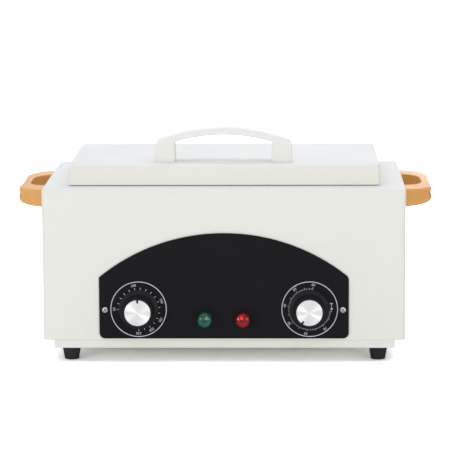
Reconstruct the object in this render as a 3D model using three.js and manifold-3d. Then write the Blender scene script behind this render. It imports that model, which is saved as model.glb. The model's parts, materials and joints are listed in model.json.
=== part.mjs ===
// A bench sanitizing box: a heated steel tank hangs in a painted sheet metal case, under a lid
// that is hinged at the back. A thermostat and a timer sit behind a black panel on the front.
//
// Lengths are millimetres. +Z is up and the front faces -Y. The origin lies on the table, under
// the middle of the box that holds the whole object.
import * as THREE from "three";
import Module from "manifold-3d";
import { mergeVertices } from "three/addons/utils/BufferGeometryUtils.js";

const wasm = await Module();
wasm.setup();

// Fits that every piece shares
const gap = 0.25; // room between two pieces that seat on each other
const overrun = 2; // how far a cutter runs past what it cuts

// Case: one painted wrap with a return along the foot of its walls
const caseWidth = 308;
const caseDepth = 179;
const wallHeight = 129.5;
const sheet = 1;
const caseCornerRadius = 3;
const caseEdgeRadius = 1.6;
const sideReturn = 34;
const endReturn = 12;
const ventLength = 34;
const ventHeight = 3.2;
const ventPitch = 9;
const rearVentRows = 5;
const rearVentSpread = 52;
const rearVentLow = 52;

// Base plate: a flat plate against the returns, with its edges folded down
const skirtHeight = 6.7;
const skirtSideInset = 8.9;
const skirtEndInset = 0.5;
const skirtCornerRadius = 2;
const baseVentRows = 7;
const baseVentSpread = 60;

// Rubber feet and the screws that clamp foot, plate and return together
const footHeight = 13;
const footTopRadius = 7.55;
const footBottomRadius = 6.45;
const footEdge = 0.4;
const footSideInset = 22.4;
const footEndInset = 18.4;
const footSeat = 6;
const screwRadius = 2;
const screwTail = 3;
const headRadius = 3.6;
const headHeight = 2.3;

// Tank, set in from the lid's edges, and the tray that stands in it
const tankEndInset = 27.5;
const tankSideInset = 16.5;
const tankDepth = 45;
const tankSheet = 0.6;
const tankCornerRadius = 14;
const tankEdgeRadius = 5;
const tankRim = 9;
const trayEndRoom = 10;
const traySideRoom = 8;
const trayHeight = 20;
const traySheet = 0.8;
const trayCornerRadius = 8;
const trayHoleRadius = 3;
const trayHoleEndInset = 29;
const trayHoleSideInset = 25;
const trayHoleColumns = 7;
const trayHoleRows = 3;
const lugWidth = 34;
const lugHeight = 15;
const lugSlotWidth = 22;
const lugSlotHeight = 6;

// Heater under the tank, and the insulated shield round both
const heaterEndInset = 15;
const heaterSideInset = 11;
const heaterThickness = 6;
const heaterCornerRadius = 6;
const studInset = 30;
const studLength = 11;
const nutRadius = 4;
const nutHeight = 3.2;
const woolThickness = 14;
const woolCornerRadius = 16;
const shieldSheet = 0.8;
const shieldFlange = 6;

// Lid: painted shell, steel liner and the board between them, set in from the case's edges
const lidHeight = 16.1;
const lidGap = 1.1;
const lidSideInset = 21.5;
const lidFrontInset = 22.5;
const lidBackInset = 13.5;
const lidCornerRadius = 2.6;
const lidEdgeRadius = 1.6;
const linerSheet = 0.6;
const linerHeight = 9;
const linerCornerRadius = 1.6;

// Hinges behind the lid
const hingeStand = 3.4;
const hingeSpread = 85;
const hingeWidth = 34;
const endKnuckle = 9;
const knuckleRadius = 3;
const hingePinRadius = 1.3;
const pinHeadRadius = 2.4;
const pinHeadLength = 1;
const leafSheet = 1.2;
const lidLeafHeight = 11;
const caseLeafReach = 8.6;

// Lid handle: two feet and a bowed bridge
const bowSpan = 115.2;
const bowFootWidth = 16.4;
const bowDepth = 16.4;
const bowSetback = 18.2;
const bowShoulder = 19;
const bowCrown = 29.9;
const bowBridge = 5.5;
const bowShoulderDrop = 0.9;
const bowShoulderRound = 4;
const bowEdge = 1.8;
const bowScrewLength = 12;

// Side handles: loops that stand out of the side walls
const loopLength = 116;
const loopReach = 24.6;
const loopHeight = 15;
const loopDrop = 3.8;
const loopForward = 1.5;
const loopEndLength = 26;
const loopTopEdge = 1.4;
const loopUnderEdge = 5;
const fingerLength = 66;
const fingerReach = 16.8;
const fingerEndLength = 24;
const grooveDrop = 5.4;
const grooveHeight = 4.2;
const grooveDepth = 0.8;
const loopScrewLength = 11;

// Control panel: a black plate with an arched top
const panelWidth = 212;
const panelSideHeight = 52.8;
const panelArch = 38;
const panelLift = 1.7;
const panelThickness = 1;
const panelCornerRadius = 6;
const panelScrewInset = 5;
const panelScrewRise = 24.9;
const panelScrewRadius = 1.5;
const panelScrewLength = 8;
const panelHeadRadius = 2.6;
const panelHeadHeight = 1.5;
const crossWidth = 0.7;
const crossDepth = 0.8;
const headFlatShare = 0.6; // how much of a screw head is flat, and takes its cross

// Dials: knob, metal cap, spindle, threaded bush and its nut
const dialSpread = 72.5;
const dialRise = 25.4;
const knobReach = 17.4;
const knobStandoff = 0.8;
const knobFlangeRadius = 16.9;
const knobFlangeHeight = 2.6;
const knobFlangeEdge = 0.9;
const knobNeckRadius = 13.4;
const knobFaceRadius = 12.3;
const knobFaceEdge = 0.6;
const knobPocketRadius = 10.5;
const knobPocketDepth = 6;
const knobWeb = 4.4;
const knobRim = 1;
const capThickness = 1.2;
const capProud = 0.6;
const capEdge = 0.3;
const notchWidth = 1.8;
const notchDepth = 2.5;
const spindleRadius = 3;
const bushRadius = 5;
const bushNutRim = 3;
const bushNutHeight = 2.8;
const bushProud = 0.6;
const thermostatWidth = 38;
const thermostatHeight = 44;
const thermostatDepth = 20;
const timerRadius = 21;
const timerDepth = 20;
const spindleSeatDepth = 8;
const timerPointerDegrees = 145.7; // counter-clockwise from the top, as seen from the front

// Thermostat bulb against the front of the tank, and its thin copper tube
const bulbRadius = 3;
const bulbLength = 26;
const bulbInset = 3;
const bulbRise = 6.55;
const bulbRoom = 3;
const bulbBack = 1;
const bulbTail = 14;
const tailRoom = 5;
const capillaryRadius = 0.9;
const capillaryShift = 10.5;
const capillaryInset = 10;
const capillaryBend = 9;
const capillaryTurn = 4;
const bendShare = 0.293; // how far the middle of a quarter bend lies from its corner

// Indicator lamps, each one moulding
const lampSpread = 16.1;
const lampRise = 17.5;
const lampRadius = 5.8;
const lampReach = 12;
const lampShoulder = 6.6;
const lampStemRadius = 4.4;
const lampStemLength = 20;

// Power inlet in the back wall
const inletX = 95;
const inletHeight = 34;
const inletFlangeLip = 2.7;
const inletFlangeThickness = 2.5;
const inletBodyWidth = 27;
const inletBodyHeight = 19.6;
const inletBodyDepth = 18;
const inletCornerRadius = 2;
const socketWall = 1.5;
const socketFloor = 3;
const bladeWidth = 2;
const bladeHeight = 4;
const bladeLength = 12;
const bladeTail = 8;
const bladeSpread = 7;
const bladeOffset = 2;

// Terminal block on the base plate, and the leads between the electrical pieces
const blockWidth = 40;
const blockDepth = 16;
const blockHeight = 14;
const blockX = 60;
const blockY = 120;
const wellRadius = 2.2;
const wellDepth = 5;
const wellCount = 4;
const leadRadius = 1.6;
const leadEnd = 5;
const leadLift = 4;
const leadHoleRadius = 2.4;
const heaterLeadX = 50;
const heaterLeadSetback = 46;
const nearShare = 0.3; // where along its way a lead comes down to the floor of the case
const halfwayShare = 0.5;
const farShare = 0.65; // and where it rises from it again

// How finely round shapes are divided. An arc in an outline gets twice its number.
const arcSegments = 2;
const slotSegments = 1;
const bowSegments = 9;
const edgeSegments = 2;
const boreSegments = 12;
const wellSegments = 8;
const dialSegments = 36;
const loopSegments = 6;
const tubeSides = 6;
const capillarySteps = 36;
const leadSteps = 30;
const quarterTurn = Math.PI / 2;

// Levels and places that follow from the sizes above. They are in the case's own frame, where
// y is zero on the front face of the case and z is zero at the lower edge of the base plate.
const wallFoot = skirtHeight;
const plateTop = wallFoot - gap;
const plateUnder = plateTop - sheet;
const caseTop = wallFoot + wallHeight;
const footX = caseWidth / 2 - footSideInset;
const footYs = [footEndInset, caseDepth - footEndInset];
const lidWidth = caseWidth - 2 * lidSideInset;
const lidDepth = caseDepth - lidFrontInset - lidBackInset;
const lidFoot = caseTop + lidGap;
const lidTop = lidFoot + lidHeight;
const lidMiddle = lidFrontInset + lidDepth / 2;
const tankLength = lidWidth - 2 * tankEndInset;
const tankWidth = lidDepth - 2 * tankSideInset;
const trayLength = tankLength - 2 * trayEndRoom;
const trayWidth = tankWidth - 2 * traySideRoom;
const heaterLength = tankLength - 2 * heaterEndInset;
const heaterWidth = tankWidth - 2 * heaterSideInset;
const studX = heaterLength / 2 - studInset;
const tankSeat = caseTop + gap;
const tankFloor = tankSeat + tankSheet - tankDepth;
const tankUnder = tankFloor - tankSheet;
const heaterTop = tankUnder - gap;
const heaterUnder = heaterTop - heaterThickness;
const woolFloor = heaterUnder - gap;
const woolUnder = woolFloor - woolThickness;
const shieldFloor = woolUnder - gap;
const shieldUnder = shieldFloor - shieldSheet;
const shieldTop = caseTop - sheet - gap;
const woolTop = shieldTop - gap;
const hingeY = lidFrontInset + lidDepth + hingeStand;
const hingeZ = caseTop + hingeStand;
const panelFace = -(gap + panelThickness);
const panelFoot = wallFoot + panelLift;
const dialHeight = panelFoot + dialRise;
const lampHeight = panelFoot + lampRise;
const panelScrewX = panelWidth / 2 - panelScrewInset;
const panelScrewHeight = panelFoot + panelScrewRise;
const bodySeat = sheet + gap;
const loopMiddle = caseDepth / 2 - loopForward;
const loopTop = caseTop - loopDrop;
const loopScrewY = (loopLength + fingerLength) / 4;
const loopScrewZ = loopTop - loopHeight / 2;
const bulbHeight = tankUnder + bulbRise;
const bulbY = lidMiddle - tankWidth / 2 - tankSheet - gap - bulbRadius;
const bulbStart = bulbInset + bulbLength - tankLength / 2;
const tailX = bulbStart + bulbTail;
const heaterLeadY = lidMiddle - heaterWidth / 2 + heaterLeadSetback;
const capRadius = knobFaceRadius - knobRim;
const knobBoreDepth = knobReach - knobWeb;
const footRecess = footHeight - footSeat;
const bowMiddle = lidFrontInset + bowSetback + bowDepth / 2;
const bowScrewX = (bowSpan - bowFootWidth) / 2;
const inletBack = caseDepth + gap + inletFlangeThickness;
const overallDepth = knobReach - panelFace + inletBack;
const caseFront = knobReach - panelFace - overallDepth / 2;

// Turns a closed three.js geometry into a solid that can be joined and cut.
function solidOf(geometry) {
  const bare = geometry.index ? geometry.toNonIndexed() : geometry.clone();
  bare.deleteAttribute("normal");
  bare.deleteAttribute("uv");
  const merged = mergeVertices(bare);
  const vertProperties = merged.attributes.position.array;
  const triVerts = merged.index.array;
  return new wasm.Manifold(new wasm.Mesh({ numProp: 3, vertProperties, triVerts }));
}

// Adds a named mesh, with a material of its own, to a group.
function piece(parent, name, solid, finish, x = 0, y = 0, z = 0) {
  const { vertProperties, triVerts } = solid.getMesh();
  const geometry = new THREE.BufferGeometry();
  geometry.setAttribute("position", new THREE.BufferAttribute(vertProperties, 3));
  geometry.setIndex(new THREE.BufferAttribute(triVerts, 1));
  geometry.computeVertexNormals();
  const mesh = new THREE.Mesh(geometry, new THREE.MeshStandardMaterial(finish));
  mesh.name = name;
  mesh.position.set(x, y, z);
  parent.add(mesh);
  return mesh;
}

// A box between two stations on each axis.
function block(x0, x1, y0, y1, z0, z1) {
  const box = new THREE.BoxGeometry(x1 - x0, y1 - y0, z1 - z0);
  return solidOf(box.translate((x0 + x1) / 2, (y0 + y1) / 2, (z0 + z1) / 2));
}

// Round bars along one axis, between two stations on it.
function barX(radius, x0, x1, y, z, segments = boreSegments) {
  const bar = new THREE.CylinderGeometry(radius, radius, x1 - x0, segments);
  return solidOf(bar.rotateZ(quarterTurn).translate((x0 + x1) / 2, y, z));
}

function barY(radius, y0, y1, x, z, segments = boreSegments) {
  const bar = new THREE.CylinderGeometry(radius, radius, y1 - y0, segments);
  return solidOf(bar.translate(x, (y0 + y1) / 2, z));
}

function barZ(radius, z0, z1, x, y, segments = boreSegments) {
  const bar = new THREE.CylinderGeometry(radius, radius, z1 - z0, segments);
  return solidOf(bar.rotateX(quarterTurn).translate(x, y, (z0 + z1) / 2));
}

// A profile of [radius, height] points, turned about an upright axis.
function turnedUp(profile, segments = boreSegments) {
  const points = profile.map(([radius, height]) => new THREE.Vector2(radius, height));
  return solidOf(new THREE.LatheGeometry(points, segments).rotateX(quarterTurn));
}

// The same, about an axis that points to the front.
function turnedForward(profile, segments = dialSegments) {
  const points = profile.map(([radius, reach]) => new THREE.Vector2(radius, reach));
  return solidOf(new THREE.LatheGeometry(points, segments).rotateX(2 * quarterTurn));
}

// A six-sided prism with an upright axis, standing on z = 0.
function hexPrism(radius, height) {
  const sides = 6;
  const prism = new THREE.CylinderGeometry(radius, radius, height, sides);
  return prism.rotateX(quarterTurn).translate(0, 0, height / 2);
}

function roundedRectangle(width, height, radius) {
  const x = width / 2 - radius;
  const y = height / 2 - radius;
  const shape = new THREE.Shape();
  shape.absarc(x, y, radius, 0, quarterTurn);
  shape.absarc(-x, y, radius, quarterTurn, 2 * quarterTurn);
  shape.absarc(-x, -y, radius, 2 * quarterTurn, 3 * quarterTurn);
  shape.absarc(x, -y, radius, 3 * quarterTurn, 4 * quarterTurn);
  return shape;
}

// A flat plate of the given outline that lies between two levels.
function plate(shape, x, y, low, high, segments = arcSegments) {
  const form = { depth: high - low, curveSegments: segments, bevelEnabled: false };
  return solidOf(new THREE.ExtrudeGeometry(shape, form).translate(x, y, low));
}

// A plate that faces the front: the outline's height runs along z, its thickness along y.
function facing(shape, x, z, front, back, segments = arcSegments) {
  const form = { depth: back - front, curveSegments: segments, bevelEnabled: false };
  return solidOf(new THREE.ExtrudeGeometry(shape, form).rotateX(quarterTurn).translate(x, back, z));
}

// A block with round upright corners, flat at one end and round-edged at the other. The round
// end is its top when way is 1, and its bottom when way is -1. The flat end lies at level z.
function softBlock(width, depth, height, corner, edge, x, y, z, way = 1) {
  const blank = new THREE.ExtrudeGeometry(roundedRectangle(width, depth, corner), {
    depth: height,
    curveSegments: arcSegments,
    bevelSize: edge,
    bevelOffset: -edge,
    bevelThickness: edge,
    bevelSegments: edgeSegments,
  });
  blank.translate(0, 0, -edge);
  if (way < 0) {
    blank.rotateX(2 * quarterTurn);
  }
  blank.translate(x, y, z);
  const low = way > 0 ? z - height : z;
  return solidOf(blank).subtract(block(x - width, x + width, y - depth, y + depth, low, low + height));
}

// A solid through a stack of [level, inset] steps, from the lowest level up. Each step is one
// convex outline, counter-clockwise as seen from above, with the same number of points.
function stacked(steps, outlineAt) {
  const rings = steps.map(([level, inset]) => outlineAt(inset).map((point) => [point.x, point.y, level]));
  const count = rings[0].length;
  const last = (rings.length - 1) * count;
  const index = [];
  for (let low = 0; low < last; low += count) {
    for (let i = 0; i < count; i += 1) {
      const next = (i + 1) % count;
      index.push(low + i, low + next, low + count + next, low + i, low + count + next, low + count + i);
    }
  }
  for (let i = 2; i < count; i += 1) {
    index.push(0, i, i - 1, last, last + i - 1, last + i);
  }
  const geometry = new THREE.BufferGeometry();
  geometry.setAttribute("position", new THREE.Float32BufferAttribute(rings.flat(2), 3));
  geometry.setIndex(index);
  return solidOf(geometry);
}

// A pan-headed screw with its head's seat on z = 0 and its shank pointing up.
function screw(radius, length, head, height) {
  const profile = [
    [0, -height],
    [head * headFlatShare, -height],
    [head, -height / 2],
    [head, 0],
    [radius, 0],
    [radius, length - radius],
    [0, length],
  ];
  const points = profile.map(([r, h]) => new THREE.Vector2(r, h));
  return new THREE.LatheGeometry(points, boreSegments).rotateX(quarterTurn);
}

// A round tube along a smooth path through the points.
function tube(points, radius, steps) {
  const path = new THREE.CatmullRomCurve3(points.map(([x, y, z]) => new THREE.Vector3(x, y, z)));
  const section = new THREE.Shape().absarc(0, 0, radius, 0, 4 * quarterTurn);
  const form = { extrudePath: path, steps, curveSegments: tubeSides / 2, bevelEnabled: false };
  return solidOf(new THREE.ExtrudeGeometry(section, form));
}

// The places of a row of repeats about zero.
function spread(count, pitch) {
  return Array.from({ length: count }, (_, index) => (index - (count - 1) / 2) * pitch);
}

// Finishes
const paint = { color: 0xe7e7e2, roughness: 0.42, metalness: 0 };
const steel = { color: 0xc6c8ca, roughness: 0.32, metalness: 1 };
const zincSteel = { color: 0xb4b6b6, roughness: 0.45, metalness: 1 };
const whitePlastic = { color: 0xe9e9e6, roughness: 0.4, metalness: 0 };
const amberPlastic = { color: 0xe0a561, roughness: 0.28, metalness: 0 };
const blackPaint = { color: 0x212124, roughness: 0.5, metalness: 0 };
const blackPlastic = { color: 0x1a1a1c, roughness: 0.38, metalness: 0 };
const spunAluminium = { color: 0xe2e3e4, roughness: 0.3, metalness: 1 };
const rubber = { color: 0x2d2d2f, roughness: 0.8, metalness: 0 };
const brass = { color: 0xc9a862, roughness: 0.35, metalness: 1 };
const copper = { color: 0xb87350, roughness: 0.35, metalness: 1 };
const wool = { color: 0xd9d3c2, roughness: 1, metalness: 0 };
const mica = { color: 0x8c7d64, roughness: 0.7, metalness: 0 };
const greenLens = { color: 0x0d6b52, roughness: 0.12, metalness: 0 };
const redLens = { color: 0xc01c12, roughness: 0.12, metalness: 0 };
const ceramic = { color: 0xe6e2d6, roughness: 0.5, metalness: 0 };
const cableSleeve = { color: 0xdedad0, roughness: 0.7, metalness: 0 };

function caseShell() {
  const inside = softBlock(
    caseWidth - 2 * sheet,
    caseDepth - 2 * sheet,
    wallHeight - 2 * sheet,
    caseCornerRadius - sheet,
    caseEdgeRadius - sheet,
    0,
    caseDepth / 2,
    wallFoot + sheet,
  );
  let shell = softBlock(
    caseWidth,
    caseDepth,
    wallHeight,
    caseCornerRadius,
    caseEdgeRadius,
    0,
    caseDepth / 2,
    wallFoot,
  ).subtract(inside);
  const footwell = block(
    sideReturn - caseWidth / 2,
    caseWidth / 2 - sideReturn,
    endReturn,
    caseDepth - endReturn,
    wallFoot - overrun,
    wallFoot + sheet + overrun,
  );
  const mouth = roundedRectangle(
    tankLength + 2 * (tankSheet + gap),
    tankWidth + 2 * (tankSheet + gap),
    tankCornerRadius + tankSheet + gap,
  );
  shell = shell.subtract(footwell);
  shell = shell.subtract(plate(mouth, 0, lidMiddle, caseTop - sheet - overrun, caseTop + overrun));
  for (const side of [-1, 1]) {
    for (const y of footYs) {
      const hole = barZ(screwRadius + gap, wallFoot - overrun, wallFoot + sheet + overrun, side * footX, y);
      shell = shell.subtract(hole);
    }
    for (const end of [-1, 1]) {
      const wall = side * (caseWidth / 2 - sheet / 2);
      const reach = sheet / 2 + overrun;
      const y = loopMiddle + end * loopScrewY;
      shell = shell.subtract(barX(screwRadius + gap, wall - reach, wall + reach, y, loopScrewZ));
    }
    const frontHoles = [
      [side * dialSpread, dialHeight, bushRadius + gap],
      [side * lampSpread, lampHeight, lampStemRadius + gap],
      [side * panelScrewX, panelScrewHeight, panelScrewRadius + gap],
    ];
    for (const [x, z, radius] of frontHoles) {
      shell = shell.subtract(barY(radius, -overrun, sheet + overrun, x, z));
    }
    for (let row = 0; row < rearVentRows; row += 1) {
      const slot = roundedRectangle(ventLength, ventHeight, ventHeight / 2);
      const x = side * rearVentSpread;
      const z = rearVentLow + row * ventPitch;
      const front = caseDepth - sheet - overrun;
      shell = shell.subtract(facing(slot, x, z, front, caseDepth + overrun, slotSegments));
    }
  }
  const inletHole = roundedRectangle(inletBodyWidth + 2 * gap, inletBodyHeight + 2 * gap, inletCornerRadius);
  const inletCut = facing(inletHole, inletX, inletHeight, caseDepth - sheet - overrun, caseDepth + overrun);
  return shell.subtract(inletCut);
}

function basePlate() {
  const width = caseWidth - 2 * skirtSideInset;
  const depth = caseDepth - 2 * skirtEndInset;
  const outline = roundedRectangle(width, depth, skirtCornerRadius);
  const hollow = roundedRectangle(width - 2 * sheet, depth - 2 * sheet, skirtCornerRadius - sheet);
  let base = plate(outline, 0, caseDepth / 2, 0, plateTop);
  base = base.subtract(plate(hollow, 0, caseDepth / 2, -overrun, plateUnder));
  for (const side of [-1, 1]) {
    for (const y of footYs) {
      base = base.subtract(barZ(screwRadius + gap, 0, plateTop + overrun, side * footX, y));
    }
    for (const shift of spread(baseVentRows, ventPitch)) {
      const slot = roundedRectangle(ventLength, ventHeight, ventHeight / 2);
      const y = caseDepth / 2 + shift;
      base = base.subtract(plate(slot, side * baseVentSpread, y, 0, plateTop + overrun, slotSegments));
    }
  }
  return base;
}

function foot() {
  const top = footHeight + plateUnder - gap;
  const profile = [
    [0, 0],
    [footBottomRadius - footEdge, 0],
    [footBottomRadius, footEdge],
    [footTopRadius, footHeight],
    [footTopRadius, top],
    [0, top],
  ];
  const recess = barZ(headRadius + gap, -overrun, footRecess, 0, 0);
  const bore = barZ(screwRadius + gap, 0, top + overrun, 0, 0);
  return turnedUp(profile, 2 * boreSegments).subtract(recess).subtract(bore);
}

function tank() {
  const length = tankLength + 2 * tankSheet;
  const width = tankWidth + 2 * tankSheet;
  const corner = tankCornerRadius + tankSheet;
  const edge = tankEdgeRadius + tankSheet;
  const rim = roundedRectangle(length + 2 * tankRim, width + 2 * tankRim, corner + tankRim);
  const hollow = softBlock(
    tankLength,
    tankWidth,
    tankDepth + overrun,
    tankCornerRadius,
    tankEdgeRadius,
    0,
    0,
    tankSheet + overrun,
    -1,
  );
  let pan = softBlock(length, width, tankDepth, corner, edge, 0, 0, 0, -1);
  pan = pan.add(plate(rim, 0, 0, 0, tankSheet)).subtract(hollow);
  const under = -tankDepth;
  for (const side of [-1, 1]) {
    const stud = barZ(screwRadius, under - studLength, under + tankSheet, side * studX, 0);
    pan = pan.add(stud);
  }
  return pan;
}

function instrumentTray() {
  const inner = roundedRectangle(
    trayLength - 2 * traySheet,
    trayWidth - 2 * traySheet,
    trayCornerRadius - traySheet,
  );
  let tray = plate(roundedRectangle(trayLength, trayWidth, trayCornerRadius), 0, 0, 0, trayHeight);
  tray = tray.subtract(plate(inner, 0, 0, traySheet, trayHeight + overrun));
  for (const end of [-1, 1]) {
    const middle = (end * (trayLength - traySheet)) / 2;
    const x0 = middle - traySheet / 2;
    const x1 = middle + traySheet / 2;
    const top = trayHeight + lugHeight;
    const slotTop = top - lugSlotHeight / 2;
    const slotLow = slotTop - lugSlotHeight;
    const slot = block(x0 - overrun, x1 + overrun, -lugSlotWidth / 2, lugSlotWidth / 2, slotLow, slotTop);
    tray = tray.add(block(x0, x1, -lugWidth / 2, lugWidth / 2, trayHeight / 2, top)).subtract(slot);
  }
  const pitchX = (trayLength - 2 * trayHoleEndInset) / (trayHoleColumns - 1);
  const pitchY = (trayWidth - 2 * trayHoleSideInset) / (trayHoleRows - 1);
  for (const x of spread(trayHoleColumns, pitchX)) {
    for (const y of spread(trayHoleRows, pitchY)) {
      tray = tray.subtract(barZ(trayHoleRadius, -overrun, traySheet + overrun, x, y, wellSegments));
    }
  }
  return tray;
}

function heaterPlate() {
  const outline = roundedRectangle(heaterLength, heaterWidth, heaterCornerRadius);
  let heater = plate(outline, 0, 0, -heaterThickness, 0);
  for (const side of [-1, 1]) {
    heater = heater.subtract(barZ(screwRadius + gap, -heaterThickness - overrun, overrun, side * studX, 0));
  }
  return heater;
}

function heaterNut() {
  const bore = barZ(screwRadius + gap, -overrun, nutHeight + overrun, 0, 0);
  return solidOf(hexPrism(nutRadius, nutHeight)).subtract(bore);
}

// The wool fills the room between the shield and the tank. A pocket on its front side takes the
// thermostat's bulb, and bores take the bulb's tube, the studs and the heater's leads.
function insulationBlanket() {
  const innerLength = tankLength + 2 * (tankSheet + gap);
  const innerWidth = tankWidth + 2 * (tankSheet + gap);
  const outline = roundedRectangle(
    innerLength + 2 * woolThickness,
    innerWidth + 2 * woolThickness,
    woolCornerRadius,
  );
  const hollow = roundedRectangle(innerLength, innerWidth, tankCornerRadius + tankSheet + gap);
  let blanket = plate(outline, 0, lidMiddle, woolUnder, woolTop);
  blanket = blanket.subtract(plate(hollow, 0, lidMiddle, woolFloor, woolTop + overrun));
  const studEnd = tankUnder - studLength;
  for (const side of [-1, 1]) {
    const well = barZ(nutRadius + gap, studEnd - gap, woolFloor + overrun, side * studX, lidMiddle);
    blanket = blanket.subtract(well);
  }
  const tankFront = lidMiddle - innerWidth / 2;
  const pocket = block(
    bulbStart - bulbLength - bulbRoom,
    tailX + tailRoom,
    bulbY - bulbRadius - bulbBack,
    tankFront + overrun,
    bulbHeight - bulbRadius - bulbRoom,
    bulbHeight + bulbRadius + bulbRoom,
  );
  const woolFront = tankFront - woolThickness;
  const leadBore = barZ(leadHoleRadius, woolUnder - overrun, woolFloor + overrun, heaterLeadX, heaterLeadY);
  const tailBore = barY(leadHoleRadius, woolFront - overrun, tankFront, tailX, bulbHeight);
  return blanket.subtract(pocket).subtract(leadBore).subtract(tailBore);
}

function heatShield() {
  const innerLength = tankLength + 2 * (tankSheet + gap + woolThickness + gap);
  const innerWidth = tankWidth + 2 * (tankSheet + gap + woolThickness + gap);
  const corner = woolCornerRadius + gap;
  const outerLength = innerLength + 2 * shieldSheet;
  const outerWidth = innerWidth + 2 * shieldSheet;
  const outer = roundedRectangle(outerLength, outerWidth, corner + shieldSheet);
  const flange = roundedRectangle(
    outerLength + 2 * shieldFlange,
    outerWidth + 2 * shieldFlange,
    corner + shieldSheet + shieldFlange,
  );
  let shield = plate(outer, 0, lidMiddle, shieldUnder, shieldTop);
  shield = shield.add(plate(flange, 0, lidMiddle, shieldTop - shieldSheet, shieldTop));
  const hollow = roundedRectangle(innerLength, innerWidth, corner);
  shield = shield.subtract(plate(hollow, 0, lidMiddle, shieldFloor, shieldTop + overrun));
  const front = lidMiddle - outerWidth / 2;
  const floorEnd = shieldFloor + overrun;
  const leadHole = barZ(leadHoleRadius, shieldUnder - overrun, floorEnd, heaterLeadX, heaterLeadY);
  const tailHole = barY(leadHoleRadius, front - overrun, front + shieldSheet + overrun, tailX, bulbHeight);
  return shield.subtract(leadHole).subtract(tailHole);
}

// The lid's pieces are in the hinge's frame: its axis is x, and the lid reaches towards -Y.
function lidShell() {
  const y = -(hingeStand + lidDepth / 2);
  const low = lidFoot - hingeZ;
  const inside = softBlock(
    lidWidth - 2 * sheet,
    lidDepth - 2 * sheet,
    lidHeight - sheet + overrun,
    lidCornerRadius - sheet,
    lidEdgeRadius - sheet,
    0,
    y,
    low - overrun,
  );
  const top = low + lidHeight;
  const holeY = bowMiddle - hingeY;
  let shell = softBlock(lidWidth, lidDepth, lidHeight, lidCornerRadius, lidEdgeRadius, 0, y, low);
  shell = shell.subtract(inside);
  for (const side of [-1, 1]) {
    const hole = barZ(screwRadius + gap, top - sheet - overrun, top + overrun, side * bowScrewX, holeY);
    shell = shell.subtract(hole);
  }
  return shell;
}

function lidLiner() {
  const width = lidWidth - 2 * (sheet + gap);
  const depth = lidDepth - 2 * (sheet + gap);
  const y = -(hingeStand + lidDepth / 2);
  const low = lidFoot - hingeZ;
  const corner = linerCornerRadius;
  const inner = roundedRectangle(width - 2 * linerSheet, depth - 2 * linerSheet, corner - linerSheet);
  const outer = plate(roundedRectangle(width, depth, corner), 0, y, low, low + linerHeight);
  return outer.subtract(plate(inner, 0, y, low + linerSheet, low + linerHeight + overrun));
}

function lidBoard() {
  const inset = sheet + gap + linerSheet + gap;
  const y = -(hingeStand + lidDepth / 2);
  const low = lidFoot - hingeZ + linerSheet + gap;
  const high = lidFoot - hingeZ + lidHeight - sheet - gap;
  const wellFloor = high - headHeight - gap;
  const wellY = bowMiddle - hingeY;
  let board = plate(roundedRectangle(lidWidth - 2 * inset, lidDepth - 2 * inset, inset), 0, y, low, high);
  for (const side of [-1, 1]) {
    const well = barZ(headRadius + gap, wellFloor, high + overrun, side * bowScrewX, wellY);
    board = board.subtract(well);
  }
  return board;
}

// The leaf on the lid carries the middle knuckle, and is cut away beside it for the end ones.
function lidLeaf() {
  const middle = hingeWidth / 2 - endKnuckle - gap;
  const face = gap - hingeStand;
  const clear = knuckleRadius + 2 * gap;
  const upper = block(-hingeWidth / 2, hingeWidth / 2, face, face + leafSheet, clear, lidLeafHeight);
  const root = block(-middle, middle, face, face + leafSheet, 0, clear + gap);
  const knuckle = barX(knuckleRadius, -middle, middle, 0, 0);
  const bore = barX(hingePinRadius + gap, -hingeWidth, hingeWidth, 0, 0);
  return upper.add(root).add(knuckle).subtract(bore);
}

// The leaf on the case carries the two end knuckles.
function caseLeaf() {
  const half = hingeWidth / 2;
  const under = gap - hingeStand;
  const clear = knuckleRadius + 2 * gap;
  let leaf = block(-half, half, clear, caseLeafReach, under, under + leafSheet);
  for (const side of [-1, 1]) {
    const inner = side * (half - endKnuckle);
    const outer = side * half;
    const x0 = Math.min(inner, outer);
    const x1 = Math.max(inner, outer);
    leaf = leaf.add(block(x0, x1, 0, clear + gap, under, under + leafSheet));
    leaf = leaf.add(barX(knuckleRadius, x0, x1, 0, 0));
  }
  return leaf.subtract(barX(hingePinRadius + gap, -hingeWidth, hingeWidth, 0, 0));
}

function hingePin() {
  const half = hingeWidth / 2 + gap;
  let pin = barX(hingePinRadius, -half - pinHeadLength, half + pinHeadLength, 0, 0);
  for (const side of [-1, 1]) {
    const x0 = Math.min(side * half, side * (half + pinHeadLength));
    pin = pin.add(barX(pinHeadRadius, x0, x0 + pinHeadLength, 0, 0));
  }
  return pin;
}

// The radius of an arc from its half chord and its rise.
function arcRadius(halfChord, rise) {
  return (halfChord * halfChord + rise * rise) / (2 * rise);
}

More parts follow.
